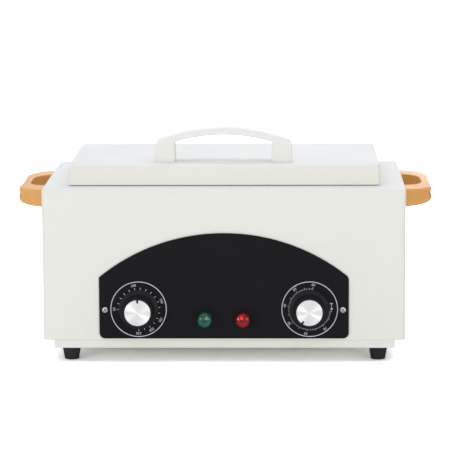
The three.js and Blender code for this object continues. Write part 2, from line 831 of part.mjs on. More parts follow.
function lidHandle() {
  const half = bowSpan / 2;
  const innerHalf = half - bowFootWidth;
  const innerCrown = bowCrown - bowBridge;
  const innerShoulder = bowShoulder - bowShoulderDrop;
  const outerRadius = arcRadius(half, bowCrown - bowShoulder);
  const innerRadius = arcRadius(innerHalf, innerCrown - innerShoulder);
  const outerStart = Math.acos((half - bowShoulderRound) / outerRadius);
  const innerStart = Math.acos(innerHalf / innerRadius);
  const outerCentre = bowCrown - outerRadius;
  const shoulderY = outerCentre + outerRadius * Math.sin(outerStart);
  const outline = new THREE.Shape();
  outline.moveTo(-half, -bowEdge);
  outline.lineTo(-innerHalf, -bowEdge);
  outline.absarc(0, innerCrown - innerRadius, innerRadius, 2 * quarterTurn - innerStart, innerStart, true);
  outline.lineTo(innerHalf, -bowEdge);
  outline.lineTo(half, -bowEdge);
  outline.lineTo(half, bowShoulder - bowShoulderRound);
  outline.quadraticCurveTo(half, bowShoulder, half - bowShoulderRound, shoulderY);
  outline.absarc(0, outerCentre, outerRadius, outerStart, 2 * quarterTurn - outerStart, false);
  outline.quadraticCurveTo(-half, bowShoulder, -half, bowShoulder - bowShoulderRound);
  const form = new THREE.ExtrudeGeometry(outline, {
    depth: bowDepth - 2 * bowEdge,
    curveSegments: bowSegments,
    bevelSize: bowEdge,
    bevelOffset: -bowEdge,
    bevelThickness: bowEdge,
    bevelSegments: edgeSegments,
  });
  let handle = solidOf(form.rotateX(quarterTurn).translate(0, bowDepth / 2 - bowEdge, 0));
  handle = handle.subtract(block(-bowSpan, bowSpan, -bowSpan, bowSpan, -bowSpan, 0));
  for (const side of [-1, 1]) {
    handle = handle.subtract(barZ(screwRadius + gap, -overrun, bowScrewLength + gap, side * bowScrewX, 0));
  }
  return handle;
}

// The plan of a side handle: straight along the wall, with a quarter of an ellipse at each end.
// It starts behind the wall, and the part behind the wall is cut off afterwards.
function loopOutline(reach, length, endLength, inset = 0) {
  const out = reach - inset;
  const end = endLength - inset;
  const middle = length / 2 - endLength;
  const near = new THREE.EllipseCurve(0, -middle, out, end, -quarterTurn, 0);
  const far = new THREE.EllipseCurve(0, middle, out, end, 0, quarterTurn);
  return [
    new THREE.Vector2(-overrun, inset - length / 2),
    ...near.getPoints(loopSegments),
    ...far.getPoints(loopSegments),
    new THREE.Vector2(-overrun, length / 2 - inset),
  ];
}

// The steps of a round edge that turns a flat face at one level into an upright wall. way is 1
// for an edge round the top, and -1 for one round the underside.
function edgeSteps(level, radius, way) {
  const steps = [];
  for (let step = 0; step <= edgeSegments; step += 1) {
    const angle = (quarterTurn * step) / edgeSegments;
    steps.push([level - way * radius * (1 - Math.cos(angle)), radius * (1 - Math.sin(angle))]);
  }
  return way > 0 ? steps.reverse() : steps;
}

// Built for the right side, with x = 0 on the wall and z = 0 on the handle's top face.
function sideHandle() {
  const grooveTop = -grooveDrop;
  const grooveLow = grooveTop - grooveHeight;
  const steps = [
    ...edgeSteps(-loopHeight, loopUnderEdge, -1),
    [grooveLow, 0],
    [grooveLow, grooveDepth],
    [grooveTop, grooveDepth],
    [grooveTop, 0],
    ...edgeSteps(0, loopTopEdge, 1),
  ];
  let handle = stacked(steps, (inset) => loopOutline(loopReach, loopLength, loopEndLength, inset));
  const finger = new THREE.Shape(loopOutline(fingerReach, fingerLength, fingerEndLength));
  handle = handle.subtract(plate(finger, 0, 0, -loopHeight - overrun, overrun));
  handle = handle.subtract(block(-2 * overrun, gap, -loopLength, loopLength, -loopLength, loopLength));
  for (const end of [-1, 1]) {
    const bore = barX(screwRadius + gap, -overrun, loopScrewLength + gap, end * loopScrewY, -loopHeight / 2);
    handle = handle.subtract(bore);
  }
  return handle;
}

function controlPanel() {
  const half = panelWidth / 2;
  const radius = arcRadius(half, panelArch);
  const start = Math.acos(half / radius);
  const corner = panelCornerRadius;
  const outline = new THREE.Shape();
  outline.absarc(corner - half, corner, corner, 2 * quarterTurn, 3 * quarterTurn);
  outline.absarc(half - corner, corner, corner, 3 * quarterTurn, 4 * quarterTurn);
  outline.lineTo(half, panelSideHeight);
  outline.absarc(0, panelSideHeight + panelArch - radius, radius, start, 2 * quarterTurn - start);
  let panel = facing(outline, 0, 0, -panelThickness, 0, bowSegments);
  for (const side of [-1, 1]) {
    const holes = [
      [side * dialSpread, dialRise, bushRadius + gap],
      [side * lampSpread, lampRise, lampStemRadius + gap],
      [side * panelScrewX, panelScrewRise, panelScrewRadius + gap],
    ];
    for (const [x, z, hole] of holes) {
      panel = panel.subtract(barY(hole, -panelThickness - overrun, overrun, x, z));
    }
  }
  return panel;
}

// A small panel screw with a cross in its head. Its head's seat is on y = 0.
function panelScrew() {
  const body = screw(panelScrewRadius, panelScrewLength, panelHeadRadius, panelHeadHeight);
  let part = solidOf(body.rotateX(-quarterTurn));
  const front = -panelHeadHeight - overrun;
  const floor = crossDepth - panelHeadHeight;
  const arm = panelHeadRadius * headFlatShare;
  part = part.subtract(block(-arm, arm, front, floor, -crossWidth / 2, crossWidth / 2));
  return part.subtract(block(-crossWidth / 2, crossWidth / 2, front, floor, -arm, arm));
}

// The dial pieces are in the dial's frame: its axis is y, and y is zero on the panel's face.
function knob() {
  const back = knobStandoff;
  const front = knobReach - capProud;
  const flangeTop = back + knobFlangeHeight;
  const profile = [
    [0, back],
    [knobFlangeRadius - knobFlangeEdge / 2, back],
    [knobFlangeRadius, back + knobFlangeEdge],
    [knobFlangeRadius, flangeTop - knobFlangeEdge],
    [knobFlangeRadius - knobFlangeEdge, flangeTop],
    [knobNeckRadius + knobFlangeEdge, flangeTop + knobFlangeEdge / 2],
    [knobNeckRadius, flangeTop + 2 * knobFlangeEdge],
    [knobFaceRadius, front - knobFaceEdge],
    [knobFaceRadius - knobFaceEdge, front],
    [0, front],
  ];
  const capSeat = knobReach - capThickness - gap;
  const pocket = barY(knobPocketRadius, -knobPocketDepth, overrun, 0, 0, dialSegments);
  const bore = barY(spindleRadius + gap, -knobBoreDepth, overrun, 0, 0);
  const recess = barY(capRadius + gap, -knobReach - overrun, -capSeat, 0, 0, dialSegments);
  return turnedForward(profile).subtract(pocket).subtract(bore).subtract(recess);
}

// The cap's pointer is a notch in its rim. Its turn is counter-clockwise from the top.
function knobCap(turn) {
  const back = knobReach - capThickness;
  const profile = [
    [0, back],
    [capRadius, back],
    [capRadius, knobReach - capEdge],
    [capRadius - capEdge, knobReach],
    [0, knobReach],
  ];
  const notch = new THREE.BoxGeometry(notchWidth, knobReach, notchDepth + overrun);
  notch.translate(0, -knobReach, capRadius + (overrun - notchDepth) / 2);
  return turnedForward(profile).subtract(solidOf(notch.rotateY(-turn)));
}

function spindle() {
  return barY(spindleRadius, gap - knobBoreDepth, bodySeat - panelFace + spindleSeatDepth - gap, 0, 0);
}

// A bush joined to the front of a regulator body, bored for the spindle.
function bushed(body) {
  const nutFront = gap + bushNutHeight + bushProud;
  const bush = barY(bushRadius, -nutFront, bodySeat - panelFace + overrun, 0, 0);
  const seatEnd = bodySeat - panelFace + spindleSeatDepth;
  return body.add(bush).subtract(barY(spindleRadius + gap, -nutFront - overrun, seatEnd, 0, 0));
}

function thermostat() {
  const front = bodySeat - panelFace;
  const x = thermostatWidth / 2;
  const z = thermostatHeight / 2;
  return bushed(block(-x, x, front, front + thermostatDepth, -z, z));
}

function timer() {
  const front = bodySeat - panelFace;
  return bushed(barY(timerRadius, front, front + timerDepth, 0, 0, dialSegments));
}

function bushNut() {
  const nut = hexPrism(bushRadius + bushNutRim, bushNutHeight).rotateX(quarterTurn).translate(0, -gap, 0);
  return solidOf(nut).subtract(barY(bushRadius + gap, -knobReach, overrun, 0, 0));
}

function indicatorLamp() {
  const domeSteps = 4;
  const domeHeight = lampReach - lampShoulder;
  const profile = [
    [0, -lampStemLength],
    [lampStemRadius, -lampStemLength],
    [lampStemRadius, gap],
    [lampRadius, gap],
  ];
  for (let step = 0; step <= domeSteps; step += 1) {
    const angle = (quarterTurn * step) / domeSteps;
    const radius = step === domeSteps ? 0 : lampRadius * Math.cos(angle);
    profile.push([radius, lampShoulder + domeHeight * Math.sin(angle)]);
  }
  return turnedForward(profile, dialSegments / 2);
}

// The tube rises from the thermostat, goes back through the shield and the wool, and ends in
// the bulb, which lies against the front of the tank.
function capillary() {
  const rootX = capillaryShift - dialSpread;
  const rootY = bodySeat + thermostatDepth - capillaryInset;
  const start = dialHeight + thermostatHeight / 2 + gap;
  const route = [
    [rootX, rootY, start],
    [rootX, rootY, start + capillaryBend],
    [tailX, rootY, bulbHeight - capillaryBend],
    [tailX, rootY + capillaryBend * bendShare, bulbHeight - capillaryBend * bendShare],
    [tailX, rootY + capillaryBend, bulbHeight],
    [tailX, bulbY - capillaryTurn, bulbHeight],
    [tailX - capillaryTurn * bendShare, bulbY - capillaryTurn * bendShare, bulbHeight],
    [tailX - capillaryTurn, bulbY, bulbHeight],
    [bulbStart - overrun, bulbY, bulbHeight],
  ];
  const bulb = barX(bulbRadius, bulbStart - bulbLength, bulbStart, bulbY, bulbHeight, boreSegments);
  return tube(route, capillaryRadius, capillarySteps).add(bulb);
}

// The inlet's pieces are in its own frame: x and z are zero at its middle, y on the case's back.
function inletBody() {
  const back = gap + inletFlangeThickness;
  const flange = roundedRectangle(
    inletBodyWidth + 2 * inletFlangeLip,
    inletBodyHeight + 2 * inletFlangeLip,
    inletCornerRadius + gap,
  );
  const body = roundedRectangle(inletBodyWidth, inletBodyHeight, inletCornerRadius);
  const socket = roundedRectangle(
    inletBodyWidth - 2 * socketWall,
    inletBodyHeight - 2 * socketWall,
    inletCornerRadius,
  );
  let inlet = facing(body, 0, 0, back - inletBodyDepth, back);
  inlet = inlet.add(facing(flange, 0, 0, gap, back));
  inlet = inlet.subtract(facing(socket, 0, 0, back - inletBodyDepth + socketFloor, back + overrun));
  for (const [x, z] of bladePlaces()) {
    const wide = bladeWidth / 2 + gap;
    const tall = bladeHeight / 2 + gap;
    const front = back - inletBodyDepth - overrun;
    inlet = inlet.subtract(block(x - wide, x + wide, front, back, z - tall, z + tall));
  }
  return inlet;
}

function bladePlaces() {
  return [
    [-bladeSpread, -bladeOffset],
    [0, bladeOffset],
    [bladeSpread, -bladeOffset],
  ];
}

function inletBlade() {
  const bodyFront = gap + inletFlangeThickness - inletBodyDepth;
  const wide = bladeWidth / 2;
  const tall = bladeHeight / 2;
  return block(-wide, wide, bodyFront - bladeTail, bodyFront + socketFloor + bladeLength, -tall, tall);
}

function terminalBlock() {
  const x = blockWidth / 2;
  const y = blockDepth / 2;
  const floor = blockHeight - wellDepth;
  let part = block(-x, x, -y, y, 0, blockHeight);
  for (const place of spread(wellCount, blockWidth / wellCount)) {
    part = part.subtract(barZ(wellRadius, floor, blockHeight + overrun, place, 0, wellSegments));
  }
  return part;
}

// The point at a share of the way between two points, at a level of its own.
function between(a, b, share, level) {
  return [a[0] + (b[0] - a[0]) * share, a[1] + (b[1] - a[1]) * share, level];
}

// Each lead is one sleeved bundle. Its ends run square to the pieces that it joins.
function leads() {
  const height = plateTop + gap + blockHeight / 2;
  const floor = plateTop + leadRadius + leadLift;
  const blockFront = blockY - blockDepth / 2 - gap;
  const blockLeft = blockX - blockWidth / 2 - gap;
  const blockRight = blockX + blockWidth / 2 + gap;
  const bladeEnd = caseDepth + gap + inletFlangeThickness - inletBodyDepth - bladeTail - gap;
  const bladeZ = inletHeight + bladeOffset;
  const timerBack = bodySeat + timerDepth + gap;
  const thermostatBack = bodySeat + thermostatDepth + gap;
  const inletStart = [inletX, bladeEnd - 2 * leadEnd, bladeZ];
  const inletStop = [blockRight + 2 * leadEnd, blockY, height];
  const timerStart = [blockX + leadEnd, blockFront - 2 * leadEnd, height];
  const timerStop = [dialSpread, timerBack + 2 * leadEnd, dialHeight];
  const thermostatStart = [blockLeft - 2 * leadEnd, blockY, height];
  const thermostatStop = [-dialSpread, thermostatBack + 2 * leadEnd, dialHeight];
  return {
    inlet_leads: [
      [inletX, bladeEnd, bladeZ],
      [inletX, bladeEnd - leadEnd, bladeZ],
      between(inletStart, inletStop, halfwayShare, (bladeZ + height) / 2),
      [blockRight + leadEnd, blockY, height],
      [blockRight, blockY, height],
    ],
    heater_leads: [
      [heaterLeadX, blockFront, height],
      [heaterLeadX, blockFront - leadEnd, height],
      [heaterLeadX, (blockFront + heaterLeadY) / 2, (height + shieldUnder) / 2],
      [heaterLeadX, heaterLeadY, shieldUnder - leadEnd],
      [heaterLeadX, heaterLeadY, woolFloor - leadEnd],
      [heaterLeadX, heaterLeadY, woolFloor],
    ],
    timer_leads: [
      [blockX + leadEnd, blockFront, height],
      [blockX + leadEnd, blockFront - leadEnd, height],
      between(timerStart, timerStop, nearShare, floor),
      between(timerStart, timerStop, farShare, floor),
      [dialSpread, timerBack + leadEnd, dialHeight],
      [dialSpread, timerBack, dialHeight],
    ],
    thermostat_leads: [
      [blockLeft, blockY, height],
      [blockLeft - leadEnd, blockY, height],
      between(thermostatStart, thermostatStop, nearShare, floor),
      between(thermostatStart, thermostatStop, farShare, floor),
      [-dialSpread, thermostatBack + leadEnd, dialHeight],
      [-dialSpread, thermostatBack, dialHeight],
    ],
  };
}

// Assembly
const sanitizingBox = new THREE.Group();
const body = new THREE.Group();
body.position.set(0, caseFront, footHeight);
sanitizingBox.add(body);

piece(body, "case_shell", caseShell(), paint);
piece(body, "base_plate", basePlate(), paint);
for (const [side, sideName] of [[-1, "left"], [1, "right"]]) {
  footYs.forEach((y, index) => {
    const place = `${index === 0 ? "front" : "rear"}_${sideName}`;
    piece(body, `foot_${place}`, foot(), rubber, side * footX, y, -footHeight);
    const length = footHeight - footRecess + wallFoot + sheet + screwTail;
    const part = solidOf(screw(screwRadius, length, headRadius, headHeight));
    piece(body, `foot_screw_${place}`, part, zincSteel, side * footX, y, footRecess - footHeight - gap);
  });
}

piece(body, "tank", tank(), steel, 0, lidMiddle, tankSeat);
piece(body, "instrument_tray", instrumentTray(), steel, 0, lidMiddle, tankFloor + gap);
piece(body, "heater_plate", heaterPlate(), mica, 0, lidMiddle, heaterTop);
for (const [side, sideName] of [[-1, "left"], [1, "right"]]) {
  const z = heaterUnder - gap - nutHeight;
  piece(body, `heater_nut_${sideName}`, heaterNut(), brass, side * studX, lidMiddle, z);
}
piece(body, "insulation_blanket", insulationBlanket(), wool);
piece(body, "heat_shield", heatShield(), zincSteel);

// The lid's group stands on the hinge axis, so that the lid opens by turning this group.
const lid = new THREE.Group();
lid.position.set(0, hingeY, hingeZ);
body.add(lid);
piece(lid, "lid_shell", lidShell(), paint);
piece(lid, "lid_liner", lidLiner(), steel);
piece(lid, "lid_insulation", lidBoard(), wool);
piece(lid, "lid_handle", lidHandle(), whitePlastic, 0, bowMiddle - hingeY, lidTop - hingeZ + gap);
for (const [side, sideName] of [[-1, "left"], [1, "right"]]) {
  const length = sheet + 2 * gap + bowScrewLength - gap;
  const part = solidOf(screw(screwRadius, length, headRadius, headHeight));
  const z = lidTop - hingeZ - sheet - gap;
  piece(lid, `lid_handle_screw_${sideName}`, part, zincSteel, side * bowScrewX, bowMiddle - hingeY, z);
  piece(lid, `hinge_lid_leaf_${sideName}`, lidLeaf(), zincSteel, side * hingeSpread);
  const leafName = `hinge_case_leaf_${sideName}`;
  piece(body, leafName, caseLeaf(), zincSteel, side * hingeSpread, hingeY, hingeZ);
  piece(body, `hinge_pin_${sideName}`, hingePin(), steel, side * hingeSpread, hingeY, hingeZ);
}

// Each side handle has a group on its wall. The left one is the right one turned half round.
for (const [side, sideName] of [[-1, "left"], [1, "right"]]) {
  const loop = new THREE.Group();
  loop.position.set((side * caseWidth) / 2, loopMiddle, loopTop);
  loop.rotation.z = side < 0 ? 2 * quarterTurn : 0;
  body.add(loop);
  piece(loop, `side_handle_${sideName}`, sideHandle(), amberPlastic);
  for (const [end, endName] of [[-1, "front"], [1, "rear"]]) {
    const length = sheet + gap + loopScrewLength;
    const part = solidOf(screw(screwRadius, length, headRadius, headHeight).rotateY(quarterTurn));
    const name = `side_handle_screw_${endName}_${sideName}`;
    piece(loop, name, part, zincSteel, -sheet - gap, side * end * loopScrewY, -loopHeight / 2);
  }
}

piece(body, "control_panel", controlPanel(), blackPaint, 0, -gap, panelFoot);
for (const [side, sideName] of [[-1, "left"], [1, "right"]]) {
  const y = panelFace - gap;
  piece(body, `panel_screw_${sideName}`, panelScrew(), zincSteel, side * panelScrewX, y, panelScrewHeight);
}

const timerTurn = THREE.MathUtils.degToRad(timerPointerDegrees);
const dials = [
  { name: "temperature", side: -1, regulator: thermostat(), regulatorName: "thermostat", turn: 0 },
  { name: "timer", side: 1, regulator: timer(), regulatorName: "timer", turn: timerTurn },
];
for (const dial of dials) {
  const group = new THREE.Group();
  group.position.set(dial.side * dialSpread, panelFace, dialHeight);
  body.add(group);
  piece(group, `${dial.name}_knob`, knob(), blackPlastic);
  piece(group, `${dial.name}_knob_cap`, knobCap(dial.turn), spunAluminium);
  piece(group, `${dial.name}_spindle`, spindle(), zincSteel);
  piece(group, `${dial.regulatorName}_body`, dial.regulator, dial.side < 0 ? ceramic : blackPlastic);
  piece(group, `${dial.regulatorName}_nut`, bushNut(), brass);
}
piece(body, "thermostat_capillary", capillary(), copper);

piece(body, "indicator_lamp_green", indicatorLamp(), greenLens, -lampSpread, panelFace, lampHeight);
piece(body, "indicator_lamp_red", indicatorLamp(), redLens, lampSpread, panelFace, lampHeight);

const inlet = new THREE.Group();
inlet.position.set(inletX, caseDepth, inletHeight);
body.add(inlet);
piece(inlet, "power_inlet", inletBody(), blackPlastic);
bladePlaces().forEach(([x, z], index) => {
  piece(inlet, `inlet_pin_${["line", "earth", "neutral"][index]}`, inletBlade(), brass, x, 0, z);
});

piece(body, "terminal_block", terminalBlock(), ceramic, blockX, blockY, plateTop + gap);
for (const [name, route] of Object.entries(leads())) {
  piece(body, name, tube(route, leadRadius, leadSteps), cableSleeve);
}

export default sanitizingBox;
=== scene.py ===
# %% [markdown]
# A bench sanitizing box, dressed for its photograph. A model gives every piece its size and its place, and
# this notebook gives the pieces their fine shape and their finish. The model could be drawn again by hand,
# but then its joints and sizes would drift, so it is loaded as a fixed frame. All lengths are metres, +Z
# is up and the control panel faces -Y.

# %% The frame
import json
from math import asin, atan2, cos, hypot, pi, radians, sin, tan

import bmesh
import bpy
from mathutils import Matrix, Vector


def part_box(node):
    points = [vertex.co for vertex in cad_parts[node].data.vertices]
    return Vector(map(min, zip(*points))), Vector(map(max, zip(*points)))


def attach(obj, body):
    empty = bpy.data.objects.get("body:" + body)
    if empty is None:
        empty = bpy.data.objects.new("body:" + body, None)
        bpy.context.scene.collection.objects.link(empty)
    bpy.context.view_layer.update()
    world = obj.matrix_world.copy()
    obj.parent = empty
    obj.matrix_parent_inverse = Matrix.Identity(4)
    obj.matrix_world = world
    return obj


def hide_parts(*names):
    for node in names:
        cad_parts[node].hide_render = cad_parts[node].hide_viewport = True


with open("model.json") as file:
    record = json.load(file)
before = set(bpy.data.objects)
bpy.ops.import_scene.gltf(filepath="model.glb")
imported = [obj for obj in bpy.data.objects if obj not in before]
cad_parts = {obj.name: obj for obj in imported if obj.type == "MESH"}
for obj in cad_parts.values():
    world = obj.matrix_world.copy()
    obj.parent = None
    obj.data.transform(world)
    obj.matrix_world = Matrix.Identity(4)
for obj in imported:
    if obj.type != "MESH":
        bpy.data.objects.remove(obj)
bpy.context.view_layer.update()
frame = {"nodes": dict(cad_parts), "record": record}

scene = bpy.context.scene
mm = 0.001


def box_of(node):
    """The lowest corner, the highest corner and the middle of one of the frame's nodes."""
    low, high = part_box(node)
    return low, high, (low + high) / 2


# %% [markdown]
# The photograph was taken with a long lens, a little above the box and a little right of its middle. The
# eye place and the three turns below come from fitting the outlines of the case, the panel and the dials.
# A camera could be aimed at a target instead, but then its roll is lost, so its axes are written out.

# %% Camera
PHOTO_WIDTH = 450
FOCAL_PIXELS = 2424.8
FRAMING_PIXELS = 0.35
eye = Vector((0.0539, -2.1020, 0.4514))
yaw, pitch, roll = radians(-1.499), radians(9.337), radians(0.310)

ahead = Vector((sin(yaw) * cos(pitch), cos(yaw) * cos(pitch), -sin(pitch)))
level = Vector((cos(yaw), -sin(yaw), 0))
below = ahead.cross(level)
across = cos(roll) * level + sin(roll) * below
down = cos(roll) * below - sin(roll) * level

lens = bpy.data.cameras.new("photo_lens")
lens.lens = lens.sensor_width * FOCAL_PIXELS / PHOTO_WIDTH
lens.shift_x = FRAMING_PIXELS / PHOTO_WIDTH
camera = bpy.data.objects.new("photo_camera", lens)
camera.matrix_world = Matrix.Translation(eye) @ Matrix((across, -down, -ahead)).transposed().to_4x4()
scene.collection.objects.link(camera)
scene.camera = camera
print("lens of", round(lens.lens), "mm")

# %% [markdown]
# The light and every finish below are trees of nodes. They could be wired by hand in the shader editor,
# but their values would be hard to find again there. So a few small tools add nodes, values and links.

# %% Node tools
def link(tree, start, end):
    """Joins an output socket to an input socket."""
    tree.links.new(start, end)


def feed(tree, socket, value):
    """Gives a socket a value, or a link where the value is another node's output."""
    if isinstance(value, bpy.types.NodeSocket):
        link(tree, value, socket)
    else:
        socket.default_value = value


def add_node(tree, kind, operation=None, **sockets):
    """Adds a node and feeds its named sockets. A node of arithmetic needs an operation too."""
    made = tree.nodes.new("ShaderNode" + kind)
    if operation:
        made.operation = operation
    for name, value in sockets.items():
        feed(tree, made.inputs[name.replace("_", " ")], value)
    return made


def combine(tree, operation, first, second=0.0):
    """One step of arithmetic on two numbers or number sockets."""
    made = add_node(tree, "Math", operation)
    feed(tree, made.inputs[0], first)
    feed(tree, made.inputs[1], second)
    return made.outputs[0]


def blend_colours(tree, share, first, second):
    """Mixes two colours."""
    made = add_node(tree, "Mix")
    made.data_type = "RGBA"
    sockets = {socket.identifier: socket for socket in (*made.inputs, *made.outputs)}
    for name, value in (("Factor_Float", share), ("A_Color", first), ("B_Color", second)):
        feed(tree, sockets[name], value)
    return sockets["Result_Color"]


def ray_kinds(tree):
    """Two masks: 1 for rays from the camera, and 1 for rays off a gloss or through a glass."""
    path = tree.nodes.new("ShaderNodeLightPath")
    kinds = [path.outputs[f"Is {kind} Ray"] for kind in ("Camera", "Glossy", "Transmission")]
    return kinds[0], combine(tree, "MAXIMUM", *kinds[1:])


# %% [markdown]
# A product photograph on white is lit by large soft sources, so that nothing casts a hard shadow. Here the
# sky gives most of the light, and five softboxes shape it. The white background is not a brighter lamp:
# the world simply shows white to rays from the camera, and to mirror and glass rays as well.

# %% World
SKY_STRENGTH = 0.495
SKY_TINT = (0.975, 0.972, 1.0, 1)
WHITE = (1, 1, 1, 1)

world = bpy.data.worlds.new("studio")
world.use_nodes = True
scene.world = world
sky = world.node_tree
background = sky.nodes["Background"]
shown = combine(sky, "MAXIMUM", *ray_kinds(sky))
link(sky, blend_colours(sky, shown, SKY_TINT, WHITE), background.inputs["Color"])
spare = combine(sky, "MULTIPLY", shown, 1 - SKY_STRENGTH)
link(sky, combine(sky, "ADD", spare, SKY_STRENGTH), background.inputs["Strength"])
scene.view_settings.view_transform = "Standard"
print("sky at", SKY_STRENGTH)

# %% [markdown]
# The lamps are softboxes: one overhead, one on each side, a low one in front and a weak one behind. A
# lamp's place matters more than its power: the side boxes draw the bright wedges on the spun caps of
# the dials, and the low one lightens the foot of the case. The overhead one is a little bluer
# than the rest, as daylight is, so the top faces look cooler than the front.

# %% Lamps
COOL, WARM = (0.87, 0.92, 1.18), (1.0, 0.98, 0.93)
# name: place, width, height, watts, colour
softboxes = {
    "overhead": ((0.0, 0.1, 2.0), 3.0, 2.6, 28.0, COOL),
    "left_side": ((-1.2, -1.6, 0.26), 0.7, 0.5, 8.4, WARM),
    "right_side": ((1.2, -1.6, 0.26), 0.7, 0.5, 5.8, WARM),
    "low_front": ((0.0, -2.6, 0.08), 1.8, 0.2, 3.8, WARM),
    "rear": ((0.3, 2.0, 0.6), 1.4, 0.9, 5.0, WARM),
}
aim = Vector((0, 0, 0.08))
for name, (place, width, height, watts, colour) in softboxes.items():
    lamp = bpy.data.lights.new(name, "AREA")
    lamp.shape = "RECTANGLE"
    lamp.size = width
    lamp.size_y = height
    lamp.energy = watts
    lamp.color = colour
    holder = bpy.data.objects.new(name, lamp)
    holder.location = place
    holder.rotation_euler = (aim - Vector(place)).to_track_quat("-Z", "Y").to_euler()
    scene.collection.objects.link(holder)
print(len(softboxes), "softboxes")

# %% [markdown]
# The floor is a plain pale sheet. The camera sees it a little whiter than the light that it throws back,
# so that it runs into the white background but keeps the soft shadow under the box.

# %% Floor
FLOOR_REACH = 6.0
FLOOR_PALE = (0.91, 0.91, 0.92)
CAMERA_LIFT, MIRROR_LIFT = 2.8, 1.1

corners = [(x * FLOOR_REACH, y * FLOOR_REACH, 0) for x, y in ((-1, -1), (1, -1), (1, 1), (-1, 1))]
sheet = bpy.data.meshes.new("floor")
sheet.from_pydata(corners, [], [(0, 1, 2, 3)])
floor = bpy.data.objects.new("floor", sheet)
scene.collection.objects.link(floor)
floor_paper = bpy.data.materials.new("floor_paper")
floor_paper.use_nodes = True
tree = floor_paper.node_tree
tree.nodes.remove(tree.nodes["Principled BSDF"])
lift = 1.0
for mask, whiter in zip(ray_kinds(tree), (CAMERA_LIFT, MIRROR_LIFT)):
    lift = combine(tree, "ADD", combine(tree, "MULTIPLY", mask, whiter - 1), lift)
whiteness = add_node(tree, "VectorMath", "SCALE", Vector=FLOOR_PALE, Scale=lift)
paper = add_node(tree, "BsdfDiffuse", Color=whiteness.outputs["Vector"])
link(tree, paper.outputs["BSDF"], tree.nodes["Material Output"].inputs["Surface"])
sheet.materials.append(floor_paper)
print("floor", 2 * FLOOR_REACH, "m wide")

# %% [markdown]
# Every finish on the box is a little uneven, and most are uneven in the same few ways. Those ways are
# built once, as node groups with named values, and each material then sets its own values. All of them
# read object coordinates, which are metres here, so a size in a group is a real size on the object.

# %% Group maker
NOISE_LOW, NOISE_HIGH = 0.3, 0.7


def new_group(name, inputs, outputs):
    """A shader node group. Each input is (name, kind, value) and each output is (name, kind)."""
    group = bpy.data.node_groups.new(name, "ShaderNodeTree")
    for label, kind, value in inputs:
        socket = group.interface.new_socket(name=label, in_out="INPUT", socket_type="NodeSocket" + kind)
        socket.default_value = value
    for label, kind in outputs:
        group.interface.new_socket(name=label, in_out="OUTPUT", socket_type="NodeSocket" + kind)
    start = group.nodes.new("NodeGroupInput").outputs
    end = group.nodes.new("NodeGroupOutput").inputs
    return group, start, end


def object_place(group):
    """The place on the object, in metres."""
    return group.nodes.new("ShaderNodeTexCoord").outputs["Object"]


def noise(group, place, scale, detail=2.0):
    """A smooth random number between 0 and 1 that changes over the surface."""
    texture = add_node(group, "TexNoise", Vector=place, Scale=scale, Detail=detail)
    return texture.outputs["Fac"]


def scaled_range(group, value, low, high):
    """Stretches the range where most noise lies to a new one, and cuts off the rest."""
    bounds = {"From_Min": NOISE_LOW, "From_Max": NOISE_HIGH, "To_Min": low, "To_Max": high}
    return add_node(group, "MapRange", Value=value, **bounds).outputs["Result"]


# %% [markdown]
# Tone is the first shared effect. No real surface has one colour all over: pigment, thickness and age
# shift it by a percent or two. Two sizes of noise mix the colour with a second one, so that large clouds
# and small ones are both there.

# %% Tone group
FINE_CLOUDS_TIMES, WIDE_CLOUDS_SHARE = 9.0, 0.6
tone_group, given, made = new_group(
    "tone",
    [
        ("Colour", "Color", (0.8, 0.8, 0.8, 1)),
        ("Other Colour", "Color", (0.7, 0.7, 0.7, 1)),
        ("Clouds Per Metre", "Float", 12.0),
        ("Amount", "Float", 1.0),
    ],
    [("Colour", "Color")],
)
place = object_place(tone_group)
wide = noise(tone_group, place, given["Clouds Per Metre"])
fine_scale = combine(tone_group, "MULTIPLY", given["Clouds Per Metre"], FINE_CLOUDS_TIMES)
fine = noise(tone_group, place, fine_scale)
wide = combine(tone_group, "MULTIPLY", wide, WIDE_CLOUDS_SHARE)
fine = combine(tone_group, "MULTIPLY", fine, 1 - WIDE_CLOUDS_SHARE)
clouds = scaled_range(tone_group, combine(tone_group, "ADD", wide, fine), 0.0, 1.0)
share = combine(tone_group, "MULTIPLY", clouds, given["Amount"])
link(tone_group, blend_colours(tone_group, share, given["Colour"], given["Other Colour"]), made["Colour"])

# %% [markdown]
# Grain is the fine relief of a surface. Stretched along one way it is brushing, and with equal sizes it is
# orange peel in paint or the matt texture of a mould. It gives a height for a Bump node and the same
# number as a mask.

# %% Grain group
grain_group, given, made = new_group(
    "grain",
    [
        ("Grains Per Metre", "Float", 1000.0),
        ("Stretch", "Vector", (1, 1, 1)),
        ("Softness", "Float", 0.5),
    ],
    [("Height", "Float")],
)
stretched = add_node(grain_group, "VectorMath", "MULTIPLY", Vector=object_place(grain_group))
link(grain_group, given["Stretch"], stretched.inputs[1])
texture = add_node(
    grain_group, "TexNoise", Vector=stretched.outputs["Vector"], Scale=given["Grains Per Metre"],
    Detail=3.0, Roughness=given["Softness"],
)
link(grain_group, texture.outputs["Fac"], made["Height"])

# %% [markdown]
# Handling makes gloss uneven: rubbed places shine, and dull ones hold a film of dust. This group gives a
# roughness between two values.

# %% Rubbing group
rubbing_group, given, made = new_group(
    "rubbing",
    [
        ("Shiny", "Float", 0.3),
        ("Dull", "Float", 0.5),
        ("Patches Per Metre", "Float", 25.0),
    ],
    [("Roughness", "Float")],
)
patches = noise(rubbing_group, object_place(rubbing_group), given["Patches Per Metre"], 4.0)
rough = scaled_range(rubbing_group, patches, given["Shiny"], given["Dull"])
link(rubbing_group, rough, made["Roughness"])

# %% [markdown]
# Flecks are the small pale or dark dots in powder paint, zinc plating and mica. They are the middles of
# Voronoi cells that are smaller than a limit.

